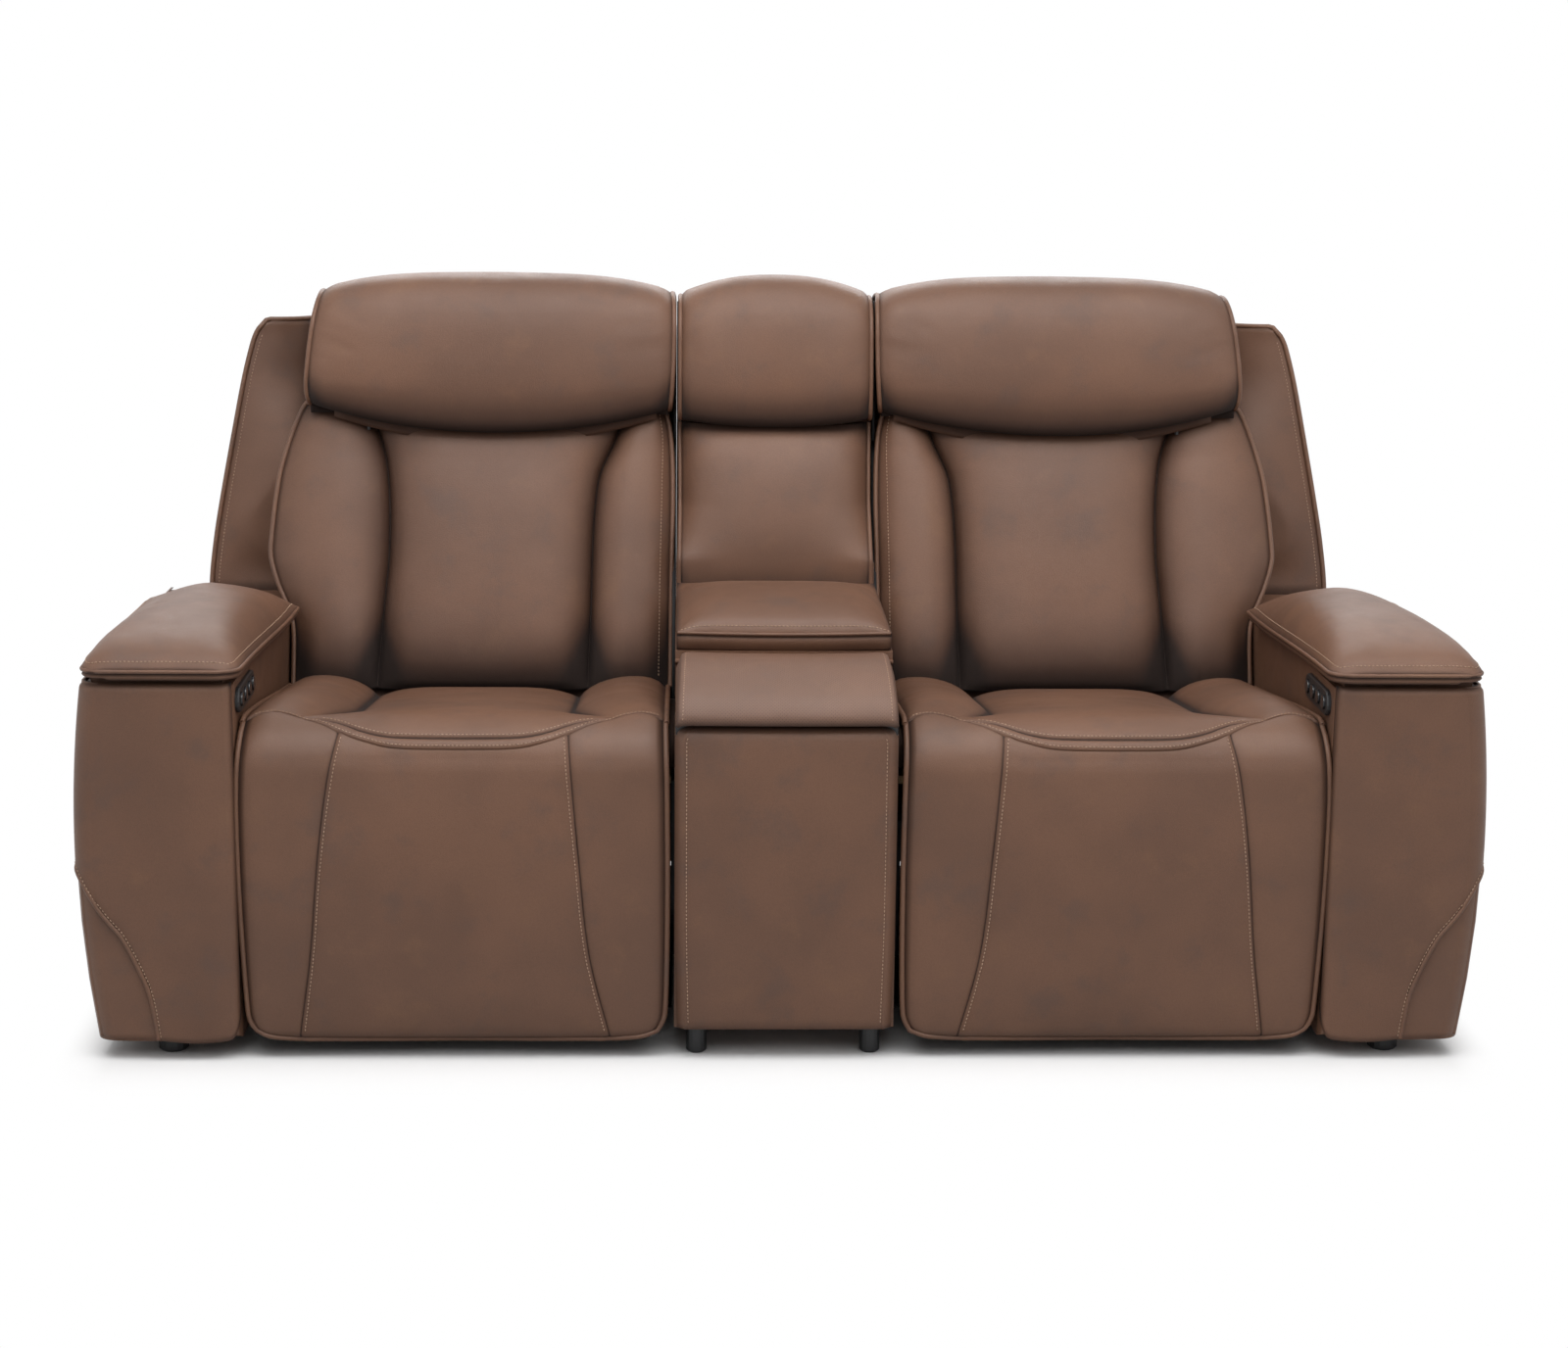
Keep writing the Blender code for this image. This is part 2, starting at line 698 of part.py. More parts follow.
def actuator(name, side):
    """Gearbox, motor and the rail that the carriage runs on, hung from the deck by a bracket."""
    low = RAIL_TOP - RAIL_HEIGHT
    rail = block(
        (seat_middle - RAIL_WIDTH / 2, RAIL_FRONT, low),
        (seat_middle + RAIL_WIDTH / 2, RAIL_REAR + 0.01, RAIL_TOP)
    )
    half = RAIL_WIDTH * 1.3
    gearbox_rear = RAIL_REAR + GEARBOX_LENGTH
    gearbox = prism(
        rounded([(RAIL_REAR, low - 0.012), (gearbox_rear, low - 0.012), (gearbox_rear, RAIL_TOP + 0.022),
                 (RAIL_REAR, RAIL_TOP + 0.022)], 0.008),
        seat_middle - half, seat_middle + half,
    )
    centre_y = (RAIL_REAR + gearbox_rear) / 2
    centre_z = RAIL_TOP - RAIL_HEIGHT / 2
    motor = rod(
        (seat_middle + half - 0.005, centre_y, centre_z),
        (seat_middle + half + MOTOR_LENGTH, centre_y, centre_z),
        MOTOR_RADIUS,
    )
    hanger = prism(
        [
            (centre_y - 0.012, RAIL_TOP),
            (centre_y + 0.012, RAIL_TOP),
            (centre_y + 0.022, deck_underside(centre_y + 0.022) - FIT),
            (centre_y - 0.022, deck_underside(centre_y - 0.022) - FIT),
        ],
        seat_middle - RAIL_WIDTH / 2, seat_middle + RAIL_WIDTH / 2,
    )
    finish(name, fuse(rail, gearbox, motor, hanger), STEEL, side)


def carriage(name, side):
    """The block on the rail, whose forked yoke takes the lever's pin."""
    pin_y = CRANK_PIVOT.y + LEVER_RADIUS * sin(lever_swing())
    base = RAIL_TOP + FIT
    top = CRANK_PIVOT.z - LEVER_RADIUS * cos(lever_swing()) + 0.010
    floor = CRANK_PIVOT.z - LEVER_RADIUS - LEVER_PIN_RADIUS - YOKE_CLEARANCE
    gap = LEVER_PIN_RADIUS + YOKE_CLEARANCE
    block_half = RAIL_WIDTH / 2 + 0.006
    frame = block(
        (seat_middle - block_half, pin_y - 0.030, base),
        (seat_middle + block_half, pin_y + 0.030, base + 0.016)
    )
    outer = gap + 0.010
    fork = [
        (pin_y - outer, base + 0.010), (pin_y + outer, base + 0.010),
        (pin_y + outer, top), (pin_y + gap, top),
        (pin_y + gap, floor), (pin_y - gap, floor), (pin_y - gap, top), (pin_y - outer, top),
    ]
    near = LEVER_PLATE / 2 + RUNNING_GAP
    for way in (-1, 1):
        sides = sorted((seat_middle + way * near, seat_middle + way * (near + 0.004)))
        frame = fuse(frame, prism(fork, *sides))
    finish(name, frame, STEEL, side, (seat_middle, pin_y, base))


def footrest_board(name, side, parent):
    """The board inside the footrest, with an ear on its back for each link."""
    front = FOOTREST_FRONT + FOOTREST_PAD + FIT
    low, high = FOOTREST_BOTTOM + 0.035, FOOTREST_TOP - 0.008
    eye = bar_outline(LINK_PIN, LINK_PIN + Vector((0, 0.001, 0)), 0.013)
    board = block((seat_inner + 0.012, front, low), (seat_outer - 0.012, front + BOARD, high))
    for outer in (False, True):
        ear = prism(
            [(front + BOARD - 0.001, LINK_PIN.z - 0.035)]
            + [(y, z) for y, z in eye if y > LINK_PIN.y]
            + [(front + BOARD - 0.001, LINK_PIN.z + 0.035)],
            *lane(outer, 2),
        )
        board = fuse(board, ear)
    finish(name, board, PLYWOOD, side, FOOTREST_HINGE, parent)


def footrest_pad(name, side, parent):
    """The padded front of the footrest, rounded at its foot and drawn in at its sides."""
    back = FOOTREST_FRONT + FOOTREST_PAD
    radius = FOOTREST_PAD * 0.75
    path = arc((back - FOOTREST_PAD + radius, FOOTREST_BOTTOM + radius), radius, 270, 180, 3)
    top = Vector((0, FOOTREST_FRONT, FOOTREST_TOP - 0.018))
    middle = (FOOTREST_TOP + FOOTREST_BOTTOM) / 2
    path += [path[-1].lerp(top, k / 6) for k in range(1, 7)]
    path.append(Vector((0, FOOTREST_FRONT + 0.014, FOOTREST_TOP)))

    def width(z):
        rise = min(max(z - FOOTREST_BOTTOM, 0.0), FOOTREST_CORNER)
        reach = sqrt(FOOTREST_CORNER**2 - (FOOTREST_CORNER - rise) ** 2)
        return seat_half - (FOOTREST_CORNER - reach) * 0.9

    def face(s, t):
        p = along_path(path, t)
        swell = (1 - s**4) * (1 - ((p.z - middle) / (middle - FOOTREST_BOTTOM)) ** 4)
        p.y -= 0.010 * max(0.0, swell)
        p.y += 0.012 * abs(s) ** 8
        p.x = seat_middle + s * width(p.z)
        return p

    def backing(s, t):
        p = along_path(path, t)
        return Vector((seat_middle + s * (width(p.z) - 0.003), back, p.z))

    finish(name, pad(10, len(path) - 1, face, backing, 0.003), LEATHER, side, FOOTREST_HINGE, parent)


def wing_edge(z):
    """X of the back's outer side, which narrows towards the top."""
    t = (z - BACK_BOTTOM) / (BACK_TOP - BACK_BOTTOM)
    return WING_BOTTOM + (WING_TOP - WING_BOTTOM) * t**1.35


def wing_front(z):
    """Y of the wing's front edge, which leans with the back and is cut away below to clear the arm."""
    clear = ARM_REAR + WING_GAP
    lean = clear + WING_LEAN * (z - ARM_HEIGHT)
    return max(lean, clear + WING_UNDERCUT * (WING_KNEE - z))


def back_frame(name, side, parent):
    """The back: a box behind the cushion with a wing at its outer side and ears for its pivots."""
    over_arm = ARM_HEIGHT + 0.020
    knee = max(WING_KNEE, BACK_BOTTOM + 0.060)
    levels = [
        # height, inset of the rear face, inset of the front face
        (BACK_BOTTOM, 0.045, 0.060), (BACK_BOTTOM + 0.045, 0.012, 0.0),
        (knee, 0.0, 0.0), (over_arm, 0.0, 0.0),
        (over_arm + 0.045, 0.0, 0.0), (back_ledge, 0.0, 0.0), (back_ledge + 0.001, 0.0, 0.0),
        ((back_ledge + BACK_TOP) / 2, 0.0, 0.0),
        (BACK_TOP - 0.022, 0.004, 0.002), (BACK_TOP, 0.026, 0.013),
    ]
    rings = []
    for z, rear_inset, front_inset in levels:
        rear = back_rear(z) - rear_inset
        front = (backing_line(z) + FIT if z <= back_ledge else headrest_wall(z)) + front_inset
        outer = wing_edge(z)
        shoulder = BACK_WAIST if z <= back_ledge else HEADREST_OUTER
        wing_y = max(front + 0.002, wing_front(z)) + (front_inset if z > back_ledge else 0.0)
        wing = Vector((outer - WING_ROUND, wing_y, z))
        elbow = Vector((shoulder + 0.006, max(front + 0.001, wing_front(z)), z))
        if z > over_arm:
            elbow = Vector((shoulder, front, z)).lerp(wing, 0.4)
        rings.append(
            [
                Vector((back_inner, front, z)),
                Vector((shoulder, front, z)),
                elbow,
                wing,
                Vector((outer, wing.y + WING_ROUND, z)),
                Vector((outer, rear - REAR_ROUND, z)),
                Vector((outer - REAR_ROUND, rear, z)),
                Vector((back_inner, rear, z)),
            ]
        )
    shape = loft(rings)
    foot = BACK_PIVOT + Vector((0, 0.075, 0.055))
    for near, far in ((plate_inner, plate_inner + EAR_PLATE), (plate_outer, plate_outer - EAR_PLATE)):
        low, high = sorted((near + (FIT if far > near else -FIT), far))
        shape = fuse(shape, prism(bar_outline(BACK_PIVOT, foot, BOSS_RADIUS), low, high))
    for x in strap_places():
        shape = fuse(shape, prism(strap_outline(), x, x + STRAP_PLATE))
    finish(name, shape, LEATHER, side, BACK_PIVOT, parent)


def strap_places():
    """Where in X the two straps that carry the headrest begin."""
    return (seat_middle - STRAP_REACH, seat_middle + STRAP_REACH - STRAP_PLATE)


def strap_outline():
    """A strap from the ledge of the back frame to the headrest's pivot."""
    low = CUSHION_TOP + 0.0035
    wall = headrest_wall(back_ledge) + 0.013
    return [
        (HEADREST_PIVOT.y - 0.005, low), (wall, low),
        (wall, low + 0.008), (HEADREST_PIVOT.y + 0.012, low + 0.008),
        (HEADREST_PIVOT.y + 0.004, HEADREST_PIVOT.z + 0.005),
        (HEADREST_PIVOT.y - 0.005, HEADREST_PIVOT.z + 0.003),
    ]


def cradle_top():
    """Height of the cradle plate that the headrest pad stands on."""
    return HEADREST_PIVOT.z + 0.0065 + HEADREST_PLATE


def headrest_frame(name, side, parent):
    """The cradle under and behind the headrest pad, with an ear beside each strap."""
    low_x = seat_middle - CRADLE_REACH
    high_x = seat_middle + CRADLE_REACH - STRAP_PLATE
    bottom = cradle_top() - HEADREST_PLATE
    rear = HEADREST_PIVOT.y + HEADREST_DEPTH - 0.010
    t = HEADREST_PLATE
    outline = [
        (HEADREST_PIVOT.y - 0.004, bottom), (rear, bottom), (rear + 0.014, HEADREST_TOP - CRADLE_DROP),
        (rear + 0.014 - t, HEADREST_TOP - CRADLE_DROP),
        (rear - t, bottom + t), (HEADREST_PIVOT.y - 0.004, bottom + t),
    ]
    frame = prism(outline, low_x, high_x)
    for x in strap_places():
        ear_x = x + STRAP_PLATE + FIT
        ear = prism(
            [
                (HEADREST_PIVOT.y - 0.005, HEADREST_PIVOT.z - 0.004),
                (HEADREST_PIVOT.y + 0.005, HEADREST_PIVOT.z - 0.004),
                (HEADREST_PIVOT.y + 0.014, bottom + 0.002), (HEADREST_PIVOT.y - 0.003, bottom + 0.002),
            ],
            ear_x, ear_x + STRAP_PLATE,
        )
        frame = fuse(frame, ear)
    finish(name, frame, STEEL, side, HEADREST_PIVOT, parent)


def pillow(low_x, high_x, ring_at, across):
    """A stuffed roll along X: ring_at(s) gives its rings, which close at flat drawn-in ends."""
    rings = []
    for k in range(across + 1):
        s = -cos(pi * k / across)
        x = (low_x + high_x) / 2 + s * (high_x - low_x) / 2
        rings.append([Vector((x, p.y, p.z)) for p in ring_at(s)])
    return loft(rings)


def headrest_ring(s, bottom, points=14):
    """One ring of a headrest or console pillow, smaller and higher at its ends."""
    top = HEADREST_TOP - 0.029 * abs(s) ** 3
    low = bottom + 0.020 * abs(s) ** 3
    front = HEADREST_PIVOT.y - 0.018 + 0.010 * s**4
    rear = front + HEADREST_DEPTH
    half_y = (rear - front) / 2 * (1 - 0.16 * s**8) - 0.012
    half_z = (top - low) / 2 * (1 - 0.03 * s**8)
    ring = []
    for k in range(points):
        a = 2 * pi * (k + 0.5) / points
        c, d = cos(a), sin(a)
        y = half_y * abs(c) ** 0.7 * (1 if c > 0 else -1)
        z = half_z * abs(d) ** 0.62 * (1 if d > 0 else -1)
        ring.append(Vector((0, (front + rear) / 2 - 0.004 + y + 0.10 * z, (top + low) / 2 + z)))
    return ring


def headrest_pad(name, side, parent):
    """The stuffed headrest, which rests in its cradle."""
    bottom = cradle_top() + FIT
    shape = pillow(console_side + PILLOW_GAP, HEADREST_OUTER, lambda s: headrest_ring(s, bottom), 10)
    finish(name, shape, LEATHER, side, HEADREST_PIVOT, parent)


def back_outer(z):
    """X of the back cushion's outer edge, which bulges out above the arm."""
    start = ARM_HEIGHT + 0.020
    if z <= start:
        return BACK_WAIST
    return BACK_WAIST + BACK_BULGE * sin(pi * min(1.0, (z - start) / (CUSHION_TOP - start)) ** 0.75)


def back_cushion(name, side, parent):
    """The back cushion with a wide centre and a side panel beyond each sewn channel."""
    height = CUSHION_TOP - CUSHION_BOTTOM

    def place(s, t):
        z = CUSHION_BOTTOM + height * (t + 1) / 2
        outer = back_outer(z)
        inner = seat_inner + 0.002
        return Vector(((inner + outer) / 2 + s * (outer - inner) / 2, backing_line(z), z))

    def face(s, t):
        p = place(s, t)
        rise = (p.z - CUSHION_BOTTOM) / height
        channel = CHANNEL_HALF + CHANNEL_SPLAY * max(0.0, (rise - 0.5) * 2) ** 2
        offset = abs(p.x - seat_middle + 0.008)
        swell = BACK_CROWN * (1 - abs(s) ** 3) * (1 - abs(t) ** 4)
        swell -= CHANNEL_DEPTH * bump(offset, channel, 0.020) * (1 - t**6)
        p.y -= CUSHION_EDGE + swell - 0.018 * abs(t) ** 6
        return p

    finish(name, pad(16, 10, face, place, 0.004), LEATHER, side, BACK_PIVOT, parent)


def rear_rail():
    """The board across the back of the base, between the two arms."""
    rail = block(
        (-(arm_inner - FIT), BASE_REAR - 0.018, BOX_BOTTOM + 0.020),
        (arm_inner - FIT, BASE_REAR - 0.003, BASE_REAR_HEIGHT),
    )
    finish("rear_rail", rail, LEATHER)


def console_box():
    """The console's carcass, low under the cup tray, with a bin behind it."""
    front = BOX_FRONT + 0.010
    step = CONSOLE_LID_FRONT + 0.002
    rear = BASE_REAR - 0.018 - FIT
    hinge = flap_hinge()
    rail_top = hinge.z + 0.006 - FLAP_THICKNESS - FIT
    outline = [
        (front, CONSOLE_BOTTOM), (rear, CONSOLE_BOTTOM), (rear, CONSOLE_HEIGHT), (step, CONSOLE_HEIGHT),
        (step, rail_top), (hinge.y, rail_top), (hinge.y, rail_top - 0.002), (step, rail_top - 0.010),
        (step, CUP_DECK_HEIGHT), (front, CUP_DECK_HEIGHT),
    ]
    shape = prism(outline, -console_side, console_side)
    inside = console_side - CONSOLE_BIN_WALL
    bin_space = block(
        (-inside, step + CONSOLE_BIN_WALL, CONSOLE_BIN_FLOOR), (inside, CONSOLE_LID_REAR - 0.050, 1.0)
    )
    wells = [
        rod(
            (x, CUP_ROW, CUP_DECK_HEIGHT - CUP_DEPTH - 0.002),
            (x, CUP_ROW, CUP_DECK_HEIGHT + 0.05),
            CUP_RADIUS + HOLE_CLEARANCE * 2,
            20,
        )
        for x in cup_places()
    ]
    finish("console_box", cut(shape, bin_space, *wells), LEATHER)


def cup_places():
    """Where in X the two cup holders stand."""
    return (-CUP_SPACING / 2, CUP_SPACING / 2)


def console_front():
    """The padded panel on the console's front, rounded over at its top."""
    back = BOX_FRONT + 0.010 - FIT
    outline = rounded(
        [
            (back, CONSOLE_BOTTOM, 0.0), (back, CUP_DECK_HEIGHT + TRAY_THICKNESS, 0.0),
            (back - PANEL_PAD - 0.006, CUP_DECK_HEIGHT + TRAY_THICKNESS, 0.018),
            (back - PANEL_PAD - 0.006, CONSOLE_BOTTOM, 0.010),
        ],
        0.0,
    )
    panel = prism(outline, -console_side, console_side)
    edge = back - 0.012
    at_side = lambda p: abs(abs(p.x) - console_side) < 1e-5 and p.y < edge
    soften(panel, lambda p, q: at_side(p) and at_side(q) and p.x * q.x > 0, 0.008, 2)
    finish("console_front_panel", panel, LEATHER)


def cup_tray():
    """The tray round the cup holders, under the flap."""
    low = CUP_DECK_HEIGHT + FIT
    half = console_side - 0.001
    tray = block(
        (-half, BOX_FRONT + 0.010, low),
        (half, CONSOLE_LID_FRONT + 0.0017, CUP_DECK_HEIGHT + TRAY_THICKNESS)
    )
    holes = [
        rod((x, CUP_ROW, low - 0.02), (x, CUP_ROW, low + 0.05), CUP_RADIUS + HOLE_CLEARANCE, 20)
        for x in cup_places()
    ]
    finish("cup_tray", cut(tray, *holes), BLACK_PLASTIC)


def cup_holder(name, x):
    """A spun steel cup with a flange that hangs on the tray."""
    top = CUP_DECK_HEIGHT + TRAY_THICKNESS + FIT
    low = CUP_DECK_HEIGHT - CUP_DEPTH
    profile = [
        (0.0, low), (CUP_RADIUS - 0.008, low), (CUP_RADIUS, low + 0.008),
        (CUP_RADIUS, top), (CUP_RADIUS + 0.005, top),
        (CUP_RADIUS + 0.005, top + CUP_WALL), (CUP_RADIUS - CUP_WALL, top + CUP_WALL),
        (CUP_RADIUS - CUP_WALL, low + 0.009), (CUP_RADIUS - 0.009, low + CUP_WALL), (0.0, low + CUP_WALL),
    ]
    finish(name, turned(profile, (x, CUP_ROW, 0)), STAINLESS)


def console_lid():
    """The padded lid over the console's bin, rolled at the back about its hinge."""
    bottom = CONSOLE_HEIGHT + LID_GAP
    top = bottom + CONSOLE_LID_HEIGHT
    roll = CONSOLE_LID_HEIGHT / 2 - 0.001
    hinge = Vector((0, CONSOLE_LID_REAR - roll, bottom + roll))
    path = [
        Vector((0, CONSOLE_LID_FRONT, bottom + 0.004)),
        Vector((0, CONSOLE_LID_FRONT - 0.006, bottom + 0.026))
    ]
    path += [
        Vector((0, CONSOLE_LID_FRONT + 0.012, top - 0.012)),
        Vector((0, CONSOLE_LID_FRONT + 0.060, top - 0.002))
    ]
    path += [Vector((0, CONSOLE_LID_FRONT + 0.18, top)), Vector((0, hinge.y - 0.10, top))]
    path += arc((hinge.y, hinge.z), roll, 90, -60, 5)
    half = console_side - 0.001

    def face(s, t):
        p = along_path(path, t)
        p.x = s * half
        p.z -= LID_SIDE_FALL * abs(s) ** 4 * min(1.0, max(0.0, (p.z - hinge.z) / roll))
        return p

    def backing(s, t):
        y = CONSOLE_LID_FRONT + 0.004 + (hinge.y - CONSOLE_LID_FRONT - 0.004) * (t + 1) / 2
        return Vector((s * (half - 0.004), y, bottom))

    finish("console_lid", pad(8, len(path) - 1, face, backing, 0.001), LEATHER, 1, hinge)


def flap_hinge():
    """The flap turns about its upper rear edge."""
    return Vector((0, CONSOLE_LID_FRONT - 0.013, CONSOLE_HEIGHT - FLAP_HINGE_DROP))


def console_flap():
    """The hood over the cup holders: a rolled top with a gusset at each side."""
    low = CUP_DECK_HEIGHT + TRAY_THICKNESS + FIT
    hinge = flap_hinge()
    outer = []
    steps = 8
    for k in range(steps + 1):
        t = k / steps
        y = hinge.y + 0.001 + (LID_FRONT - hinge.y - 0.001) * t
        z = hinge.z + 0.006 - (hinge.z + 0.006 - low - 0.012) * (0.45 * t + 0.55 * t**2.4)
        outer.append((y, z))
    front_low = (LID_FRONT + 0.004, low)
    inner = [
        (y + FLAP_THICKNESS * 0.5 * (k / steps), z - FLAP_THICKNESS) for k, (y, z) in enumerate(outer[:-1])
    ]
    inner.append((LID_FRONT + 0.004 + FLAP_THICKNESS, low))
    half = console_side - 0.001
    roof = prism(outer + [front_low] + inner[::-1], -half, half)
    gusset_outline = [(min(y, hinge.y - 0.004), z - 0.004) for y, z in outer] + [
        (front_low[0] + 0.002, low), (hinge.y - 0.004, low)
    ]
    hood = fuse(
        roof,
        prism(gusset_outline, -half + 0.0015, -half + 0.0015 + GUSSET),
        prism(gusset_outline, half - 0.0015 - GUSSET, half - 0.0015),
    )
    finish("console_flap", hood, LEATHER, 1, hinge)


def console_back():
    """The fixed back above the console."""
    half = console_side
    bottom = CONSOLE_HEIGHT + FIT
    rear = BASE_REAR - 0.020
    waist = CONSOLE_CUSHION_BOTTOM + 0.015
    outline = [
        (CONSOLE_LID_REAR + 0.006, bottom), (rear, bottom), (back_rear(waist), waist),
        (back_rear(BACK_TOP) - 0.02, BACK_TOP - 0.03), (back_rear(BACK_TOP) - 0.05, BACK_TOP),
        (headrest_wall(BACK_TOP), BACK_TOP), (headrest_wall(back_ledge), back_ledge),
        (backing_line(back_ledge) + FIT, back_ledge),
        (backing_line(CONSOLE_CUSHION_BOTTOM - 0.01) + FIT, CONSOLE_CUSHION_BOTTOM - 0.01),
        (CONSOLE_LID_REAR + 0.006, CONSOLE_CUSHION_BOTTOM - 0.012),
    ]
    finish("console_back_frame", prism(outline, -half, half), LEATHER)


def console_cushion():
    """The small back cushion above the console."""
    half = console_side - 0.001
    height = CUSHION_TOP - CONSOLE_CUSHION_BOTTOM

    def place(s, t):
        z = CONSOLE_CUSHION_BOTTOM + height * (t + 1) / 2
        return Vector((half * s, backing_line(z), z))

    def face(s, t):
        p = place(s, t)
        p.y -= CUSHION_EDGE + BACK_CROWN * 0.7 * (1 - abs(s) ** 3) * (1 - abs(t) ** 4) - 0.018 * abs(t) ** 6
        return p

    finish("console_back_cushion", pad(8, 8, face, place, 0.001), LEATHER)


def console_pillow():
    """The fixed pillow between the two headrests."""
    half = console_side - 0.001
    bottom = CUSHION_TOP + FIT
    shape = pillow(-half, half, lambda s: headrest_ring(s, bottom), 8)
    finish("console_pillow", shape, LEATHER)


def foot(name, x, y, height, radius):
    """A round glide under a box."""
    bm = rod((x, y, 0), (x, y, height - FIT), radius, 16)
    soften(bm, lambda p, q: p.z < 1e-6 and q.z < 1e-6, 0.003, 1)
    finish(name, bm, BLACK_PLASTIC)


def seat_module(word, side):
    """Everything that belongs to one seat and its arm."""
    arm_box(f"{word}_arm_box", side)
    arm_lid(f"{word}_arm_lid", side)
    control_plate(f"{word}_control_plate", side)
    for number in range(BUTTON_COUNT):
        button(f"{word}_button_{number + 1}", side, number)
    seat_deck(f"{word}_seat_deck", side)
    seat_cushion(f"{word}_seat_cushion", side)
    side_plate(f"{word}_outer_side_plate", side, True)
    side_plate(f"{word}_inner_side_plate", side, False)
    crank_axis = axis_at(f"{word}_crank_axis", CRANK_PIVOT, side)
    crank_frame(f"{word}_crank_frame", side, crank_axis)
    link_axis = axis_at(f"{word}_link_axis", crank_pin(), side)
    link_frame(f"{word}_link_frame", side, link_axis)
    actuator(f"{word}_actuator", side)
    carriage(f"{word}_carriage", side)
    footrest_axis = axis_at(f"{word}_footrest_axis", FOOTREST_HINGE, side)
    footrest_board(f"{word}_footrest_board", side, footrest_axis)
    footrest_pad(f"{word}_footrest_pad", side, footrest_axis)
    back_axis = axis_at(f"{word}_back_axis", BACK_PIVOT, side)
    back_frame(f"{word}_back_frame", side, back_axis)
    back_cushion(f"{word}_back_cushion", side, back_axis)
    headrest_axis = axis_at(f"{word}_headrest_axis", HEADREST_PIVOT, side)
    headrest_frame(f"{word}_headrest_frame", side, headrest_axis)
    headrest_pad(f"{word}_headrest_pad", side, headrest_axis)
    for place, y in (("front", BOX_FRONT + 0.050), ("rear", BASE_REAR - 0.050)):
        foot(f"{word}_{place}_foot", side * (arm_inner + ARM_WIDTH / 2), y, BOX_BOTTOM, FOOT_RADIUS)


fresh_scene()
for word, side in (("left", -1), ("right", 1)):
    seat_module(word, side)
rear_rail()
console_box()
console_front()
cup_tray()
for word, x in zip(("left", "right"), cup_places()):
    cup_holder(f"{word}_cup_holder", x)
console_lid()
console_flap()
console_back()
console_cushion()
console_pillow()
for word, side in (("left", -1), ("right", 1)):
    foot(
        f"{word}_console_foot",
        side * (console_side - 0.033),
        BOX_FRONT + 0.036,
        CONSOLE_BOTTOM,
        CONSOLE_FOOT_RADIUS,
    )
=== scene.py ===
"""Looks for the power reclining loveseat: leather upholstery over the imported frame."""

from math import atan, cos, exp, pi, radians, sin, sqrt

import bmesh
import bpy
from mathutils import Matrix, Vector
from mathutils.bvhtree import BVHTree
from mathutils.kdtree import KDTree
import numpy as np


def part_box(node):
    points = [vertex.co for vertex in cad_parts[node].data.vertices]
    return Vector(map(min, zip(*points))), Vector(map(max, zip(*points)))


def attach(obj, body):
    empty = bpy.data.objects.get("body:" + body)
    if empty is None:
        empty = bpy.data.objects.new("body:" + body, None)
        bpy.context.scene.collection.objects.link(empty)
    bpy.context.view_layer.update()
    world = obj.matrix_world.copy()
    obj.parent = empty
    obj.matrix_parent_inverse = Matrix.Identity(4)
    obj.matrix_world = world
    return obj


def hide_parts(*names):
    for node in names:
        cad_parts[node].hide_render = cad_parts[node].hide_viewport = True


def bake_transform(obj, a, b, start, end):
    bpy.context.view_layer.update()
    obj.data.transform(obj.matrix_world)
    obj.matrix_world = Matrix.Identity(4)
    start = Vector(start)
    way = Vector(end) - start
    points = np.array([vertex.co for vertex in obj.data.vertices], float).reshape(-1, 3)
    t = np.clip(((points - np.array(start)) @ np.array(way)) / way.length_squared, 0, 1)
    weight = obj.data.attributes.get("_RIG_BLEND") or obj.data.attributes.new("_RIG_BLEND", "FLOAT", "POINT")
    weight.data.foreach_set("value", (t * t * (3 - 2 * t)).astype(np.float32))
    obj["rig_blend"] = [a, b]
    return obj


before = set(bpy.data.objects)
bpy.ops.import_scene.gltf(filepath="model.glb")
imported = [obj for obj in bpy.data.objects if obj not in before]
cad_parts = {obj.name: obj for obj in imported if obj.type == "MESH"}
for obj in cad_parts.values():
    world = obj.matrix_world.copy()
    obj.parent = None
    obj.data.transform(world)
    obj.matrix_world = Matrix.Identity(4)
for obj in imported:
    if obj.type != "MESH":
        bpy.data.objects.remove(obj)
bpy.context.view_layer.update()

scene = bpy.context.scene

# Places read from the frame
seat_low, seat_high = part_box("right_seat_cushion")
panel_low, panel_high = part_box("right_footrest_pad")
lid_low, lid_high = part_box("right_arm_lid")
back_low, back_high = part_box("right_back_cushion")
arm_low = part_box("right_arm_box")[0]
shell_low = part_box("right_back_frame")[0]
console_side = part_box("console_box")[1][0]
MIDDLE = (seat_low[0] + seat_high[0]) / 2

# The seat's rolled nose, its fall towards the rear, and the slope of the back
NOSE = 0.070
NOSE_Y = seat_low[1] + NOSE
NOSE_Z = 0.430
FALL = atan(0.13)
BACK_SLOPE = 0.3256

# Welts, stitches and the hood's perforation
WELT = 0.0042
STITCH_PITCH = 0.0058
STITCH_LENGTH = 0.0044
STITCH_WIDTH = 0.0018
STITCH_HALF_HEIGHT = 0.0006
STITCH_LIFT = 0.0003
HOLE_WAVE = 2 * pi / 0.0052

# The pads' swelling: the share of it that is kept, its air pressure, its mesh and its frames
SWELL_SHARE = 0.45
SWELL_PRESSURE = 4.0
SWELL_VOXEL = 0.007
SWELL_FRAMES = 20


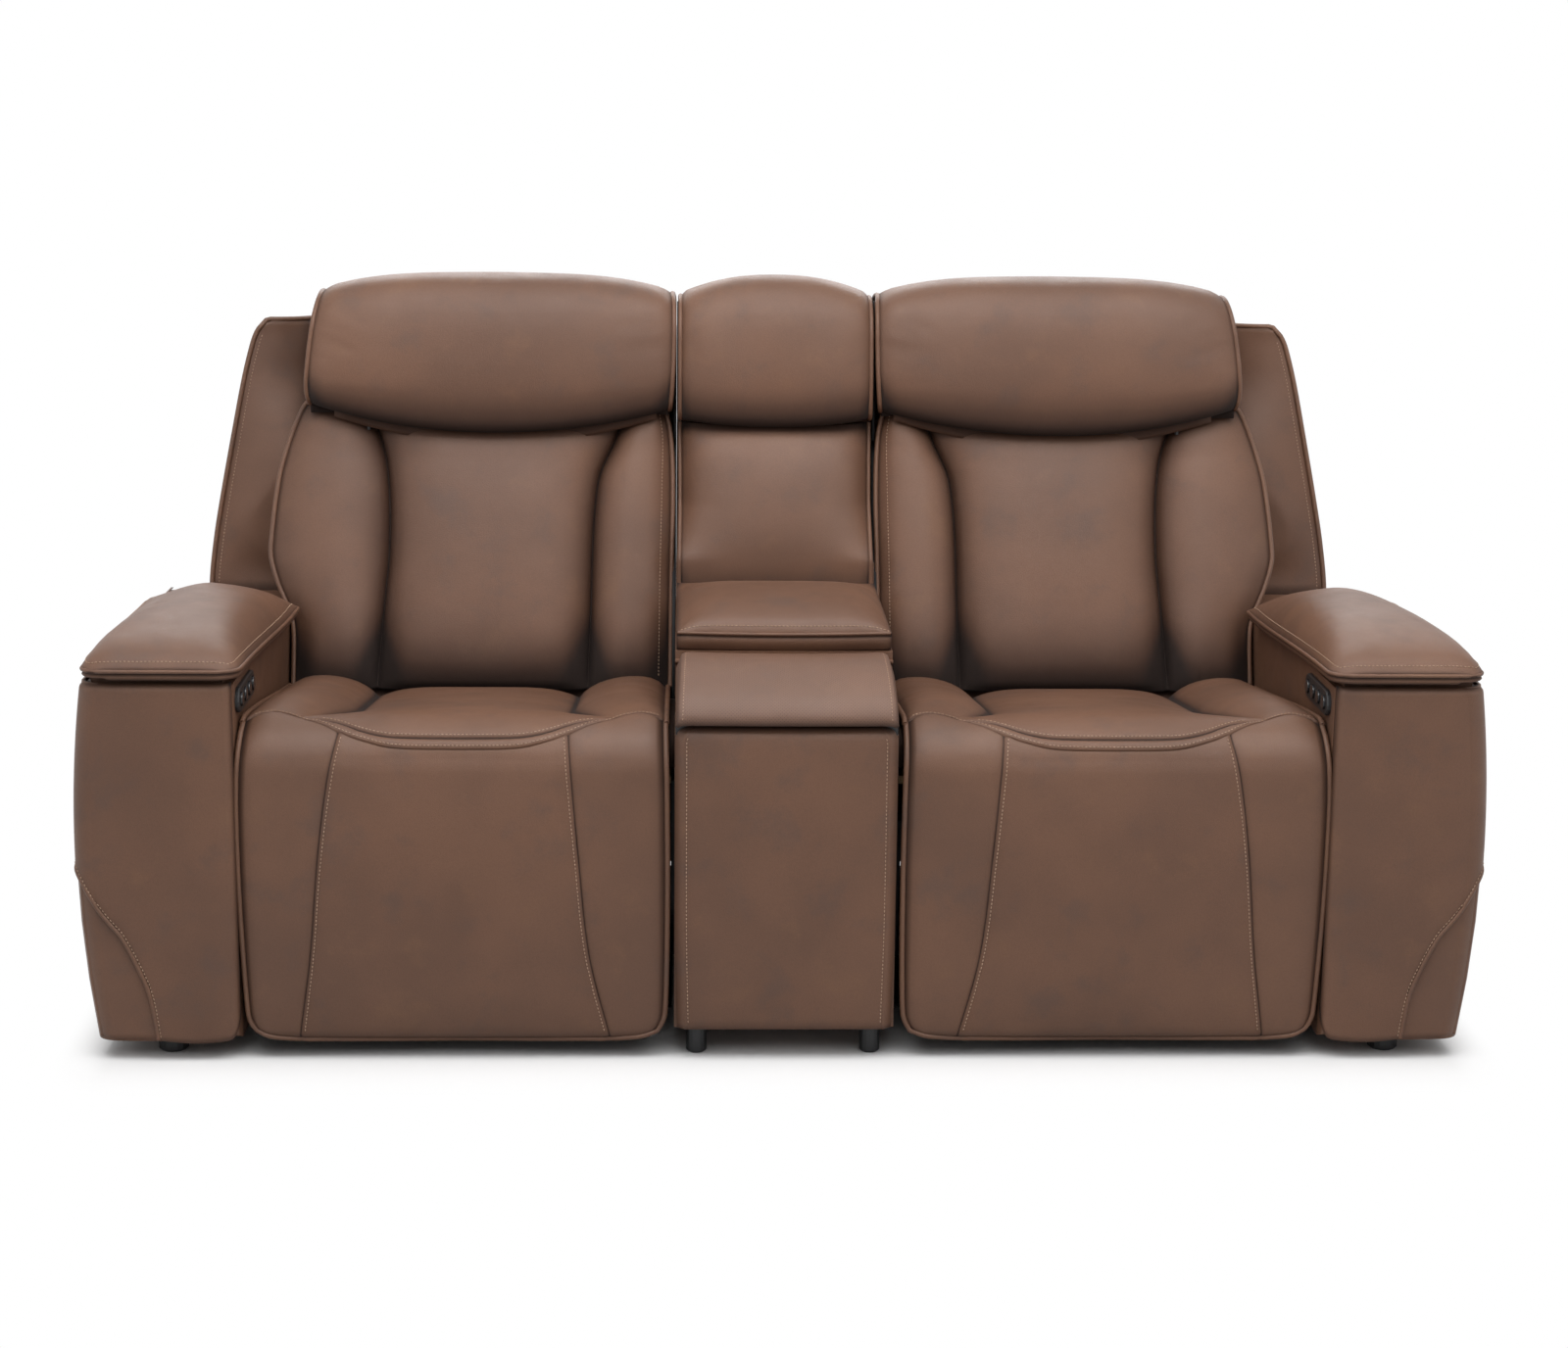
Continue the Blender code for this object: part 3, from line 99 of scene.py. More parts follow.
# Shader writing
class Signal:
    """A value flowing between shader nodes. Arithmetic on it adds Math nodes."""

    def __init__(self, recipe, socket):
        self.recipe = recipe
        self.socket = socket

    def _math(self, operation, first, second):
        return self.recipe.node("ShaderNodeMath", {"operation": operation}, {0: first, 1: second})

    def __add__(self, other):
        return self._math("ADD", self, other)

    def __radd__(self, other):
        return self._math("ADD", other, self)

    def __sub__(self, other):
        return self._math("SUBTRACT", self, other)

    def __rsub__(self, other):
        return self._math("SUBTRACT", other, self)

    def __mul__(self, other):
        return self._math("MULTIPLY", self, other)

    def __rmul__(self, other):
        return self._math("MULTIPLY", other, self)


class Recipe:
    """A node tree being written, with one method that adds any node."""

    def __init__(self, owner):
        owner.use_nodes = True
        self.owner = owner
        self.tree = owner.node_tree

    def node(self, kind, settings=None, sockets=None, out=0):
        made = self.tree.nodes.new(kind)
        for key, value in (settings or {}).items():
            setattr(made, key, value)
        for key, value in (sockets or {}).items():
            self.feed(made.inputs[key], value)
        return Signal(self, made.outputs[out])

    def feed(self, target, value):
        if isinstance(value, Signal):
            self.tree.links.new(value.socket, target)
            return
        is_colour = hasattr(target.default_value, "__len__") and len(target.default_value) == 4
        target.default_value = (*value, 1.0) if is_colour and len(value) == 3 else value

    def surface(self, **values):
        shader = self.tree.nodes["Principled BSDF"]
        for key, value in values.items():
            self.feed(shader.inputs[key.replace("_", " ").title().replace("Ior", "IOR")], value)
        return self.owner

    def place(self):
        return self.node("ShaderNodeTexCoord", out="Object")

    def noise(self, scale, detail=2.0, roughness=0.5, place=None):
        sockets = {"Vector": place or self.place(), "Scale": scale, "Detail": detail, "Roughness": roughness}
        return self.node("ShaderNodeTexNoise", None, sockets)

    def mix(self, factor, first, second):
        return self.node("ShaderNodeMix", {"data_type": "RGBA"}, {0: factor, 6: first, 7: second}, 2)

    def vector(self, operation, *values, out=0):
        return self.node("ShaderNodeVectorMath", {"operation": operation}, dict(enumerate(values)), out)

    def larger(self, first, second):
        return self.node("ShaderNodeMath", {"operation": "MAXIMUM"}, {0: first, 1: second})

    def direct_rays(self):
        """1 for rays from the camera, a reflection or something clear, 0 for those that only light."""
        kinds = ("Is Camera Ray", "Is Glossy Ray", "Is Transmission Ray")
        camera_ray, glossy, transmitted = [self.node("ShaderNodeLightPath", out=kind) for kind in kinds]
        return self.larger(self.larger(camera_ray, glossy), transmitted)

    def spread(self, value, low, high, to_low=0.0, to_high=1.0):
        sockets = {"Value": value, "From Min": low, "From Max": high, "To Min": to_low, "To Max": to_high}
        return self.node("ShaderNodeMapRange", {"interpolation_type": "SMOOTHSTEP"}, sockets)

    def bump(self, height, distance, strength=1.0, normal=None):
        sockets = {"Height": height, "Distance": distance, "Strength": strength}
        if normal is not None:
            sockets["Normal"] = normal
        return self.node("ShaderNodeBump", None, sockets)


def new_look(name):
    """The recipe of a new material."""
    return Recipe(bpy.data.materials.new(name))


def leather(name="mottled_leather_painted_shade", perforated=False):
    """Mottled brown leather: cloudy dye and a fine pebbled grain, painted darker with shade where the crease
    attribute marks seams, creases, edges and undersides.
    """
    r = new_look(name)
    clouds = r.noise(4.0, 3.0, 0.55)
    blotches = r.noise(13.0, 4.0, 0.6)
    flecks = r.noise(420.0, 2.0, 0.6)
    pebbles = {"Vector": r.place(), "Scale": 620.0, "Randomness": 1.0}
    cells = r.node("ShaderNodeTexVoronoi", {"feature": "DISTANCE_TO_EDGE"}, pebbles)
    colour = r.mix(r.spread(clouds, 0.32, 0.68), (0.121, 0.060, 0.0365), (0.157, 0.077, 0.0455))
    colour = r.mix(r.spread(blotches, 0.52, 0.74) * 0.45, colour, (0.087, 0.055, 0.044))
    colour = r.mix(r.spread(blotches, 0.26, 0.44, 1.0, 0.0) * 0.45, colour, (0.172, 0.085, 0.045))
    colour = r.mix(r.spread(flecks, 0.35, 0.70) * 0.16, colour, (0.074, 0.037, 0.023))
    # Painted shade: the crease attribute darkens the dye towards near-black where shade falls, and roughens
    # it there.
    crease = r.node("ShaderNodeAttribute", {"attribute_name": "crease"}, out="Fac")
    colour = r.mix(r.spread(crease, 0.0, 0.85) * 0.90, colour, (0.036, 0.0145, 0.0075))
    colour = r.mix(r.spread(crease, 0.62, 1.0) * 0.92, colour, (0.010, 0.0045, 0.003))
    rough = r.spread(blotches, 0.3, 0.7, 0.42, 0.50) + crease * 0.38
    height = r.spread(cells, 0.0, 0.30)
    if perforated:
        # Painted light: the perforated copy of the leather is made a quarter paler, standing in for the light
        # the hood catches.
        colour = r.mix(0.25, colour, (0.24, 0.15, 0.115))
        across = r.node("ShaderNodeSeparateXYZ", None, {0: r.place()}, out="X")
        run = r.node("ShaderNodeAttribute", {"attribute_name": "run"}, out="Fac")
        waves = []
        for line in (across, run):
            waves.append(r.node("ShaderNodeMath", {"operation": "COSINE"}, {0: line * HOLE_WAVE}))
        holes = r.spread(waves[0] * waves[1], 0.62, 0.80)
        colour = r.mix(holes * 0.50, colour, (0.020, 0.010, 0.007))
        height = height - holes * 2.0
    grain = r.bump(height, 0.00022, 0.55)
    grain = r.bump(r.noise(1300.0, 2.0), 0.00008, 0.6, grain)
    grain = r.bump(r.noise(70.0, 3.0), 0.0006, 0.30, grain)
    return r.surface(base_color=colour, roughness=rough, normal=grain, specular_ior_level=0.37)


def thread():
    """Tan topstitching thread with a twist."""
    r = new_look("tan_thread")
    twist = r.noise(1600.0, 2.0)
    colour = r.mix(twist, (0.31, 0.20, 0.135), (0.42, 0.28, 0.19))
    return r.surface(base_color=colour, roughness=0.75, normal=r.bump(twist, 0.0002))


def black_plastic():
    """Moulded black plastic with a fine texture."""
    r = new_look("moulded_black_plastic")
    speck = r.noise(900.0, 3.0)
    colour = r.mix(r.noise(30.0, 2.0), (0.010, 0.010, 0.011), (0.018, 0.018, 0.019))
    rough = r.spread(speck, 0.3, 0.7, 0.34, 0.46)
    return r.surface(base_color=colour, roughness=rough, normal=r.bump(speck, 0.00008, 0.5))


def button_plastic():
    """Polished black button with faint handling marks."""
    r = new_look("polished_button")
    marks = r.noise(160.0, 4.0)
    colour = r.mix(marks, (0.012, 0.012, 0.013), (0.022, 0.022, 0.024))
    rough = r.spread(marks, 0.35, 0.7, 0.10, 0.22)
    return r.surface(base_color=colour, roughness=rough, normal=r.bump(marks, 0.00003, 0.4))


def mechanism_steel():
    """Black-painted steel, worn to grey in scattered patches."""
    r = new_look("painted_steel")
    wear = r.noise(55.0, 5.0, 0.65)
    worn = r.spread(wear, 0.60, 0.72)
    colour = r.mix(worn, (0.035, 0.035, 0.037), (0.16, 0.16, 0.165))
    rough = r.spread(wear, 0.3, 0.75, 0.48, 0.32)
    metal = worn * 0.8 + 0.15
    return r.surface(base_color=colour, metallic=metal, roughness=rough, normal=r.bump(wear, 0.0002, 0.4))


def spun_steel():
    """Brushed cup steel with turning marks round the cup."""
    r = new_look("spun_cup_steel")
    marks = r.noise(240.0, 5.0, 0.7)
    colour = r.mix(marks, (0.46, 0.46, 0.47), (0.62, 0.62, 0.63))
    rough = r.spread(marks, 0.3, 0.7, 0.20, 0.34)
    return r.surface(base_color=colour, metallic=1.0, roughness=rough, normal=r.bump(marks, 0.00005, 0.5))


def plywood():
    """Birch plywood board with grain along X."""
    r = new_look("birch_plywood")
    stretch = r.node("ShaderNodeMapping", None, {"Vector": r.place(), "Scale": (2.0, 34.0, 34.0)})
    grain = r.noise(6.0, 6.0, 0.6, stretch)
    colour = r.mix(r.spread(grain, 0.3, 0.7), (0.36, 0.22, 0.11), (0.56, 0.38, 0.21))
    rough = r.spread(grain, 0.3, 0.7, 0.60, 0.72)
    return r.surface(base_color=colour, roughness=rough, normal=r.bump(grain, 0.0002, 0.5))


def cambric():
    """Thin black cloth under the base."""
    r = new_look("black_cambric")
    weave = r.noise(700.0, 3.0)
    colour = r.mix(weave, (0.008, 0.008, 0.009), (0.017, 0.017, 0.018))
    rough = r.spread(weave, 0.3, 0.7, 0.85, 0.95)
    return r.surface(base_color=colour, roughness=rough, normal=r.bump(weave, 0.0003))


LEATHER = leather()
PERFORATED = leather("perforated_leather", True)
THREAD = thread()
BLACK = black_plastic()
BUTTON = button_plastic()
STEEL = mechanism_steel()
CUP = spun_steel()
PLY = plywood()
CAMBRIC = cambric()


# Drawing helpers
def trace(x, *points):
    """The smooth curve through points (x, y) in rising x, held level beyond its ends."""
    x = min(max(x, points[0][0]), points[-1][0])
    k = 1
    while x > points[k][0]:
        k += 1

    def slope(i):
        a = points[max(i - 1, 0)]
        b = points[min(i + 1, len(points) - 1)]
        return (b[1] - a[1]) / (b[0] - a[0])

    (x0, y0), (x1, y1) = points[k - 1], points[k]
    w = x1 - x0
    f = (x - x0) / w
    return (
        y0 * (1 + 2 * f) * (1 - f) ** 2
        + y1 * f * f * (3 - 2 * f)
        + slope(k - 1) * w * f * (1 - f) ** 2
        - slope(k) * w * f * f * (1 - f)
    )


def ease(x, low, high):
    """0 at low, 1 at high, smooth between."""
    f = min(max((x - low) / (high - low), 0.0), 1.0)
    return f * f * (3 - 2 * f)


def notch(distance, width):
    """1 in the middle of a seam, falling to 0 over about its width on each side."""
    return exp(-((distance / width) ** 2))


def rounding(distance, radius):
    """How far a round corner draws an edge in, at a distance from the corner's end."""
    x = min(radius, max(0.0, radius - distance))
    return radius - sqrt(radius**2 - x**2)


def curl(x, start):
    """0 up to start, then rising to 1 at 1, as an edge rolls over."""
    return max(0.0, (x - start) / (1 - start)) ** 2


def spaced(low, length, count):
    """Even values from low over length, in count steps."""
    return [low + length * k / count for k in range(count + 1)]


def stations(count, *seams, width=0.02):
    """Even steps from -1 to 1, with more of them beside each seam."""
    near = [c + width * f for c in seams for f in (-1.0, -0.55, -0.25, 0.0, 0.25, 0.55, 1.0)]
    kept = [e for e in spaced(-1, 2, count) if abs(e) == 1 or all(abs(e - c) > width * 1.3 for c in seams)]
    return sorted(set(kept + [n for n in near if -1 <= n <= 1]))


def open_rim(across):
    """Steps (s, t) down a form's outer side, along its foot and up its inner side."""
    down = [(1, t) for t in spaced(0.985, -1.985, 70)]
    foot = [(1 - 2 * k / across, -1) for k in range(1, across)]
    return down + foot + [(-1, t) for t in spaced(-1, 1.985, 70)]


def side_paths(face, low, length, count, out, rearward):
    """Paths along a form's two sides, moved outwards and to the rear."""
    steps = spaced(low, length, count)
    return [[face(s, t) + Vector((s * out, rearward, 0)) for t in steps] for s in (-1, 1)]


def form(columns, rows, depths, place, crease=None):
    """A closed padded form: place(s, t, d) runs from its face, d 0, round its edge to its backing, d 1."""
    bm = bmesh.new()
    across = bm.verts.layers.float.new("across")
    along = bm.verts.layers.float.new("along")
    depth = bm.verts.layers.float.new("depth")
    # The crease attribute holds painted shade, 0 to 1, that crease(s, t) gives each point of the face; the
    # leather is darkened by it.
    shade = bm.verts.layers.float.new("crease")
    bmesh.ops.create_grid(bm, x_segments=len(columns) - 1, y_segments=len(rows) - 1, size=1.0)
    for v in bm.verts:
        v[across] = columns[round((v.co.x + 1) / 2 * (len(columns) - 1))]
        v[along] = rows[round((v.co.y + 1) / 2 * (len(rows) - 1))]
    back = bmesh.ops.extrude_face_region(bm, geom=bm.faces[:], use_keep_orig=True)["geom"]
    for v in back:
        if isinstance(v, bmesh.types.BMVert):
            v[depth] = 1.0
    walls = [e for e in bm.edges if abs(e.verts[0][depth] - e.verts[1][depth]) > 0.5]
    if len(depths) > 2:
        bmesh.ops.subdivide_edges(bm, edges=walls, cuts=len(depths) - 2, use_grid_fill=False)
        for v in bm.verts:
            v[depth] = depths[round(v[depth] * (len(depths) - 1))]
    for v in bm.verts:
        v.co = place(v[across], v[along], v[depth])
        if crease and v[depth] < 0.5:
            v[shade] = min(1.0, max(0.0, crease(v[across], v[along])))
    bmesh.ops.recalc_face_normals(bm, faces=bm.faces[:])
    return bm


def dress(bm, name, look, body, stands_for=()):
    """Makes a finished piece of the mesh and hands it to the frame."""
    mesh = bpy.data.meshes.new(name)
    bm.to_mesh(mesh)
    mesh.materials.append(look)
    mesh.shade_smooth()
    piece = bpy.data.objects.new(name, mesh)
    scene.collection.objects.link(piece)
    if isinstance(body, str):
        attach(piece, body)
    else:
        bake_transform(piece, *body)
    if stands_for:
        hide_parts(*stands_for)
    return piece


def both_sides(bm, name, look, body, stands_for=()):
    """The same piece on the right seat and, mirrored, on the left. {} in a word stands for the side."""
    for side in ("right", "left"):
        copy = bm.copy()
        if side == "left":
            bmesh.ops.scale(copy, vec=(-1, 1, 1), verts=copy.verts[:])
            bmesh.ops.reverse_faces(copy, faces=copy.faces[:])
        if isinstance(body, str):
            carrier = body.format(side)
        else:
            carrier = [part.format(side) if isinstance(part, str) else part for part in body]
        dress(copy, name.format(side), look, carrier, [n.format(side) for n in stands_for])
        copy.free()


def surface_of(bm):
    """A search tree over the mesh, for laying stitches on it."""
    bm.verts.index_update()
    faces = [[v.index for v in f.verts] for f in bm.faces]
    return BVHTree.FromPolygons([v.co.copy() for v in bm.verts], faces)


def lay(path, tree, lift):
    """The path's points moved onto the surface, lift above it, each with the surface's normal."""
    laid = []
    for point in path:
        place, normal, _, _ = tree.find_nearest(Vector(point))
        laid.append((place + normal * lift, normal))
    return laid


def evaluated_mesh(holder):
    """A new mesh of the object as its modifiers leave it now."""
    return bpy.data.meshes.new_from_object(holder.evaluated_get(bpy.context.evaluated_depsgraph_get()))


def cords(paths, radius=WELT):
    """Welts, round cords of leather along the paths, as one mesh."""
    bm = bmesh.new()
    for path in paths:
        curve = bpy.data.curves.new("cord", "CURVE")
        curve.dimensions = "3D"
        curve.bevel_depth = radius
        curve.bevel_resolution = 2
        curve.use_fill_caps = True
        line = curve.splines.new("POLY")
        line.points.add(len(path) - 1)
        for point, place in zip(line.points, path):
            point.co = (*place, 1.0)
        holder = bpy.data.objects.new("cord", curve)
        scene.collection.objects.link(holder)
        mesh = evaluated_mesh(holder)
        bm.from_mesh(mesh)
        bpy.data.objects.remove(holder)
        bpy.data.meshes.remove(mesh)
        bpy.data.curves.remove(curve)
    return bm


def index_of(places):
    """A search tree that finds the number of the place nearest to a point."""
    found = KDTree(len(places))
    for i, place in enumerate(places):
        found.insert(place, i)
    found.balance()
    return found


def puff(bm, cap):
    """Lets a pad swell as cloth over its filling, by less than cap, held at its seams and its backing."""
    depth = bm.verts.layers.float["depth"]
    shade = bm.verts.layers.float["crease"]
    mesh = bpy.data.meshes.new("swelling")
    bm.to_mesh(mesh)
    holder = bpy.data.objects.new("swelling", mesh)
    scene.collection.objects.link(holder)
    even = holder.modifiers.new("even", "REMESH")
    even.mode = "VOXEL"
    even.voxel_size = SWELL_VOXEL
    cloth_mesh = evaluated_mesh(holder)
    holder.modifiers.clear()
    holder.data = cloth_mesh
    bm.verts.ensure_lookup_table()
    sources = index_of([v.co for v in bm.verts])
    held = holder.vertex_groups.new(name="held")
    for v in cloth_mesh.vertices:
        source = bm.verts[sources.find(v.co)[1]]
        held.add([v.index], 1.0 if source[depth] > 0.2 else ease(source[shade], 0.20, 0.60), "REPLACE")
    cloth = holder.modifiers.new("cloth", "CLOTH")
    cloth.settings.effector_weights.gravity = 0.0
    cloth.settings.use_pressure = True
    cloth.settings.uniform_pressure_force = SWELL_PRESSURE
    cloth.settings.vertex_group_mass = "held"
    cloth.point_cache.frame_start = 1
    cloth.point_cache.frame_end = SWELL_FRAMES
    for number in range(1, SWELL_FRAMES + 1):
        scene.frame_set(number)
    swollen = evaluated_mesh(holder)
    starts = index_of([v.co for v in cloth_mesh.vertices])
    for v in bm.verts:
        if v[depth] > 0.2:
            continue
        shift = Vector()
        total = 0.0
        for _, i, distance in starts.find_n(v.co, 6):
            weight = 1.0 / (distance + 0.002)
            shift += (swollen.vertices[i].co - cloth_mesh.vertices[i].co) * weight
            total += weight
        shift *= SWELL_SHARE / total
        shift *= cap / (cap + shift.length)
        v.co += shift * (1 - ease(v[shade], 0.35, 0.9))
    scene.frame_set(1)
    bpy.data.objects.remove(holder)
    for spent in (mesh, cloth_mesh, swollen):
        bpy.data.meshes.remove(spent)


def even_steps(laid, pitch):
    """Points every pitch along a laid path, with their normals and directions."""
    steps = []
    due = pitch / 2
    for (a, na), (b, nb) in zip(laid, laid[1:]):
        length = (b - a).length
        if length < 1e-7:
            continue
        while due <= length:
            f = due / length
            steps.append((a.lerp(b, f), na.lerp(nb, f).normalized(), (b - a) / length))
            due += pitch
        due -= length
    return steps


def seams(tree, paths, lift=STITCH_LIFT):
    """Short raised stitches along the paths, laid on the surface, as one mesh."""
    bm = bmesh.new()
    for path in paths:
        for place, normal, run in even_steps(lay(path, tree, lift), STITCH_PITCH):
            side = normal.cross(run).normalized()
            up = run.cross(side)
            axes = (run * STITCH_LENGTH / 2, side * STITCH_WIDTH / 2, up * STITCH_HALF_HEIGHT)
            turn = Matrix.Translation(place) @ Matrix(axes).transposed().to_4x4()
            bmesh.ops.create_icosphere(bm, subdivisions=1, radius=1.0, matrix=turn)
    return bm


# Seat top and front panel
def nose_line(u, lift=0.0, x=0.0):
    """A point on the seat's line: u metres down the rolled nose from its top, or behind it below 0."""
    turn = min(max(u / NOSE, -FALL), pi / 2)
    behind = max(0.0, -FALL * NOSE - u)
    below = max(0.0, u - NOSE * pi / 2)
    normal = Vector((0, -sin(turn), cos(turn)))
    rearward = Vector((0, cos(turn), sin(turn)))
    return Vector((x, NOSE_Y, NOSE_Z - below)) + normal * (NOSE + lift) + rearward * behind


def lower_seam(o):
    """Where the front panel's top edge lies on the nose, at offset o from the seat's middle."""
    points = [(0, 62), (0.09, 60), (0.135, 50.5), (0.165, 40), (0.19, 27.5), (0.22, 14), (0.245, 4)]
    points += [(0.265, 0), (0.285, 6), (0.305, 16)]
    return NOSE * radians(trace(abs(o), *points))


def upper_seam(o):
    """Where the band above the front panel ends."""
    turn = trace(abs(o), (0, 47), (0.08, 46), (0.11, 43), (0.14, 35), (0.17, 22), (0.20, 14), (0.225, 11))
    return min(NOSE * radians(turn), lower_seam(o) - 0.0015)


def bolster_crease(u):
    """Offset of the crease between the seat's centre and its bolster."""
    return trace(u, (-0.16, 0.160), (-0.09, 0.1765), (-0.03, 0.205), (0.0, 0.222))


def plump(o, u):
    """How far the seat stands above its line."""
    crease = bolster_crease(u)
    if abs(o) < crease:
        rise = -0.015 + 0.017 * (1 - (abs(o) / crease) ** 5)
    else:
        b = (abs(o) - crease) / (0.305 - crease)
        rise = trace(b, (0, -0.015), (0.06, -0.005), (0.2, 0.008), (0.4, 0.017), (0.6, 0.020),
                     (0.8, 0.017), (1, 0.004))
    return rise * trace(u, (-0.15, 1), (-0.10, 0.88), (-0.03, 0.45), (0.0, 0.2), (0.035, 0))


SEAT_SEAM = 0.55
SEAT_HALF = 0.303


def seat_edge(s, u):
    """Offset of the seat's outer side, s > 0, or its inner side."""
    if s > 0:
        return trace(-u, (-0.06, 0.3060), (0.0, 0.3045), (0.10, 0.3035), (0.45, 0.3015))
    return -trace(-u, (-0.06, 0.3005), (0.0, 0.3000), (0.45, 0.2990))


def seat_offset(s, u):
    """Offset from the seat's middle at s: the creases lie at SEAT_SEAM, the sides at 1."""
    crease = bolster_crease(u)
    if abs(s) < SEAT_SEAM:
        o = abs(s) / SEAT_SEAM * crease
    else:
        o = crease + (abs(s) - SEAT_SEAM) / (1 - SEAT_SEAM) * (abs(seat_edge(s, u)) - crease)
    return o if s > 0 else -o


def seat_top():
    """The seat's cover: the band above the front panel, then the crowned seat and its two bolsters."""
    rear = -(seat_high[1] - 0.004 - NOSE_Y)

    def run(s, t):
        u = 0.0
        for _ in range(3):
            o = seat_offset(s, u)
            low = lower_seam(o)
            high = upper_seam(o)
            if t < -0.9:
                u = low + 0.022 * (-0.9 - t) / 0.1
            elif t < -0.7:
                u = low + (high - low) * (t + 0.9) / 0.2
            else:
                u = high + (rear - high) * ((t + 0.7) / 1.7) ** 1.35
        return seat_offset(s, u), u

    def place(s, t, d):
        o, u = run(s, t)
        lift = plump(o, u)
        lift -= 0.0022 + 0.008 * ease(-t, 0.89, 1.0) if t < -0.89 else 0.0
        lift -= 0.0028 * notch(u - upper_seam(o), 0.0028) * ease(-abs(o), -0.235, -0.200)
        lift += 0.0016 * sin(pi * min(max((t + 0.9) / 0.2, 0.0), 1.0))
        lift -= 0.0055 * curl(abs(s), 0.94)
        lift -= 0.020 * ease(t, 0.9, 1.0)
        face = nose_line(u, lift, MIDDLE + o)
        if d == 0:
            return face
        back = nose_line(u, -0.060 - 0.022 * ease(-u, 0.0, 0.12), MIDDLE + o * 0.985)
        mid = face.lerp(back, d)
        if abs(s) == 1:
            mid.x += s * 0.0035 * sin(pi * d)
        return mid

    # Painted shade along the bolster creases and the band's seam, at the nose's lower edge and the sides, and
    # over the rear under the back.
    def crease(s, t):
        o, u = run(s, t)
        away = abs(o) - bolster_crease(u)
        deep = (0.75 * notch(away, 0.006) + 0.35 * notch(away, 0.020)) * ease(-u, -0.01, 0.10)
        band = 0.75 * notch(u - upper_seam(o), 0.0018) + 0.2 * notch(u - upper_seam(o), 0.007)
        band *= ease(-abs(o), -0.235, -0.200)
        edge = 0.7 * ease(-t, 0.895, 0.93) + 0.2 * ease(-t, 0.83, 0.9)
        edge += 0.25 * ease(abs(s), 0.90, 1.0) + 0.5 * ease(abs(s), 0.975, 0.998)
        return deep + band + edge + 0.7 * ease(-u, 0.40, 0.49)

    columns = stations(52, -SEAT_SEAM, SEAT_SEAM, width=0.045)
    rows = [-1.0, -0.95, -0.92, -0.90, -0.88, -0.85, -0.80, -0.75, -0.73, -0.715, -0.70, -0.685, -0.67, -0.65]
    rows += spaced(-0.62, 1.62, 44)
    return form(columns, rows, [0, 0.12, 0.35, 1], place, crease)


PANEL_SEAM = 0.60
PANEL_BOTTOM = panel_low[2]


def panel_seam(z, outer):
    """Offset of the front panel's outer or inner sewn seam."""
    if outer:
        return trace(z, (0.036, 0.229), (0.16, 0.211), (0.31, 0.197), (0.42, 0.182), (0.491, 0.1665))
    return trace(z, (0.036, 0.221), (0.16, 0.1915), (0.31, 0.176), (0.42, 0.1665), (0.491, 0.1610))


def panel_half(z, outer):
    """Offset of the front panel's outer or inner edge, rounded in at its foot."""
    if outer:
        half = trace(z, (0.03, 0.2985), (0.10, 0.3035), (0.20, 0.3080), (0.30, 0.3105),
                     (0.40, 0.3100), (0.50, 0.3035))
    else:
        half = trace(z, (0.03, 0.2955), (0.10, 0.2995), (0.25, 0.3015), (0.40, 0.3005), (0.50, 0.2985))
    return half - 0.9 * rounding(z - PANEL_BOTTOM, 0.040)


def panel_run(s, t):
    """Offset and distance down the nose line of a point on the front panel."""
    flat = NOSE * pi / 2
    u = flat
    o = 0.0
    for _ in range(4):
        z = nose_line(u).z
        half = panel_half(z, s > 0)
        seam = panel_seam(z, s > 0)
        a = abs(s)
        if a < PANEL_SEAM:
            o = a / PANEL_SEAM * seam
        else:
            o = seam + (a - PANEL_SEAM) / (1 - PANEL_SEAM) * (half - seam)
        if t > 0.45:
            u = flat + (lower_seam(o) - flat) * (t - 0.45) / 0.55
        else:
            foot = PANEL_BOTTOM + 0.007 * a**2.5 + 0.006 * curl(a, 0.88)
            u = flat + (NOSE_Z - foot) * (0.45 - t) / 1.45
    return (o if s > 0 else -o), u


def panel_face(s, t, inward=0.0):
    """A point on the front panel's face, or inward of it."""
    o, u = panel_run(s, t)
    z = nose_line(u).z
    lift = plump(o, u) + 0.0012 - inward
    lift += 0.011 * (1 - s**4) * trace(z, (0.03, 0.35), (0.10, 0.8), (0.22, 1), (0.34, 0.75), (0.45, 0))
    lift -= 0.0020 * notch(abs(s) - PANEL_SEAM, 0.008)
    lift += 0.0014 * notch(abs(s) - PANEL_SEAM + 0.028, 0.022)
    lift -= 0.0060 * curl(abs(s), 0.92)
    lift -= 0.0032 * ease(t, 0.985, 1.0)
    lift -= rounding(z - PANEL_BOTTOM, 0.016)
    return nose_line(u, lift, MIDDLE + o)


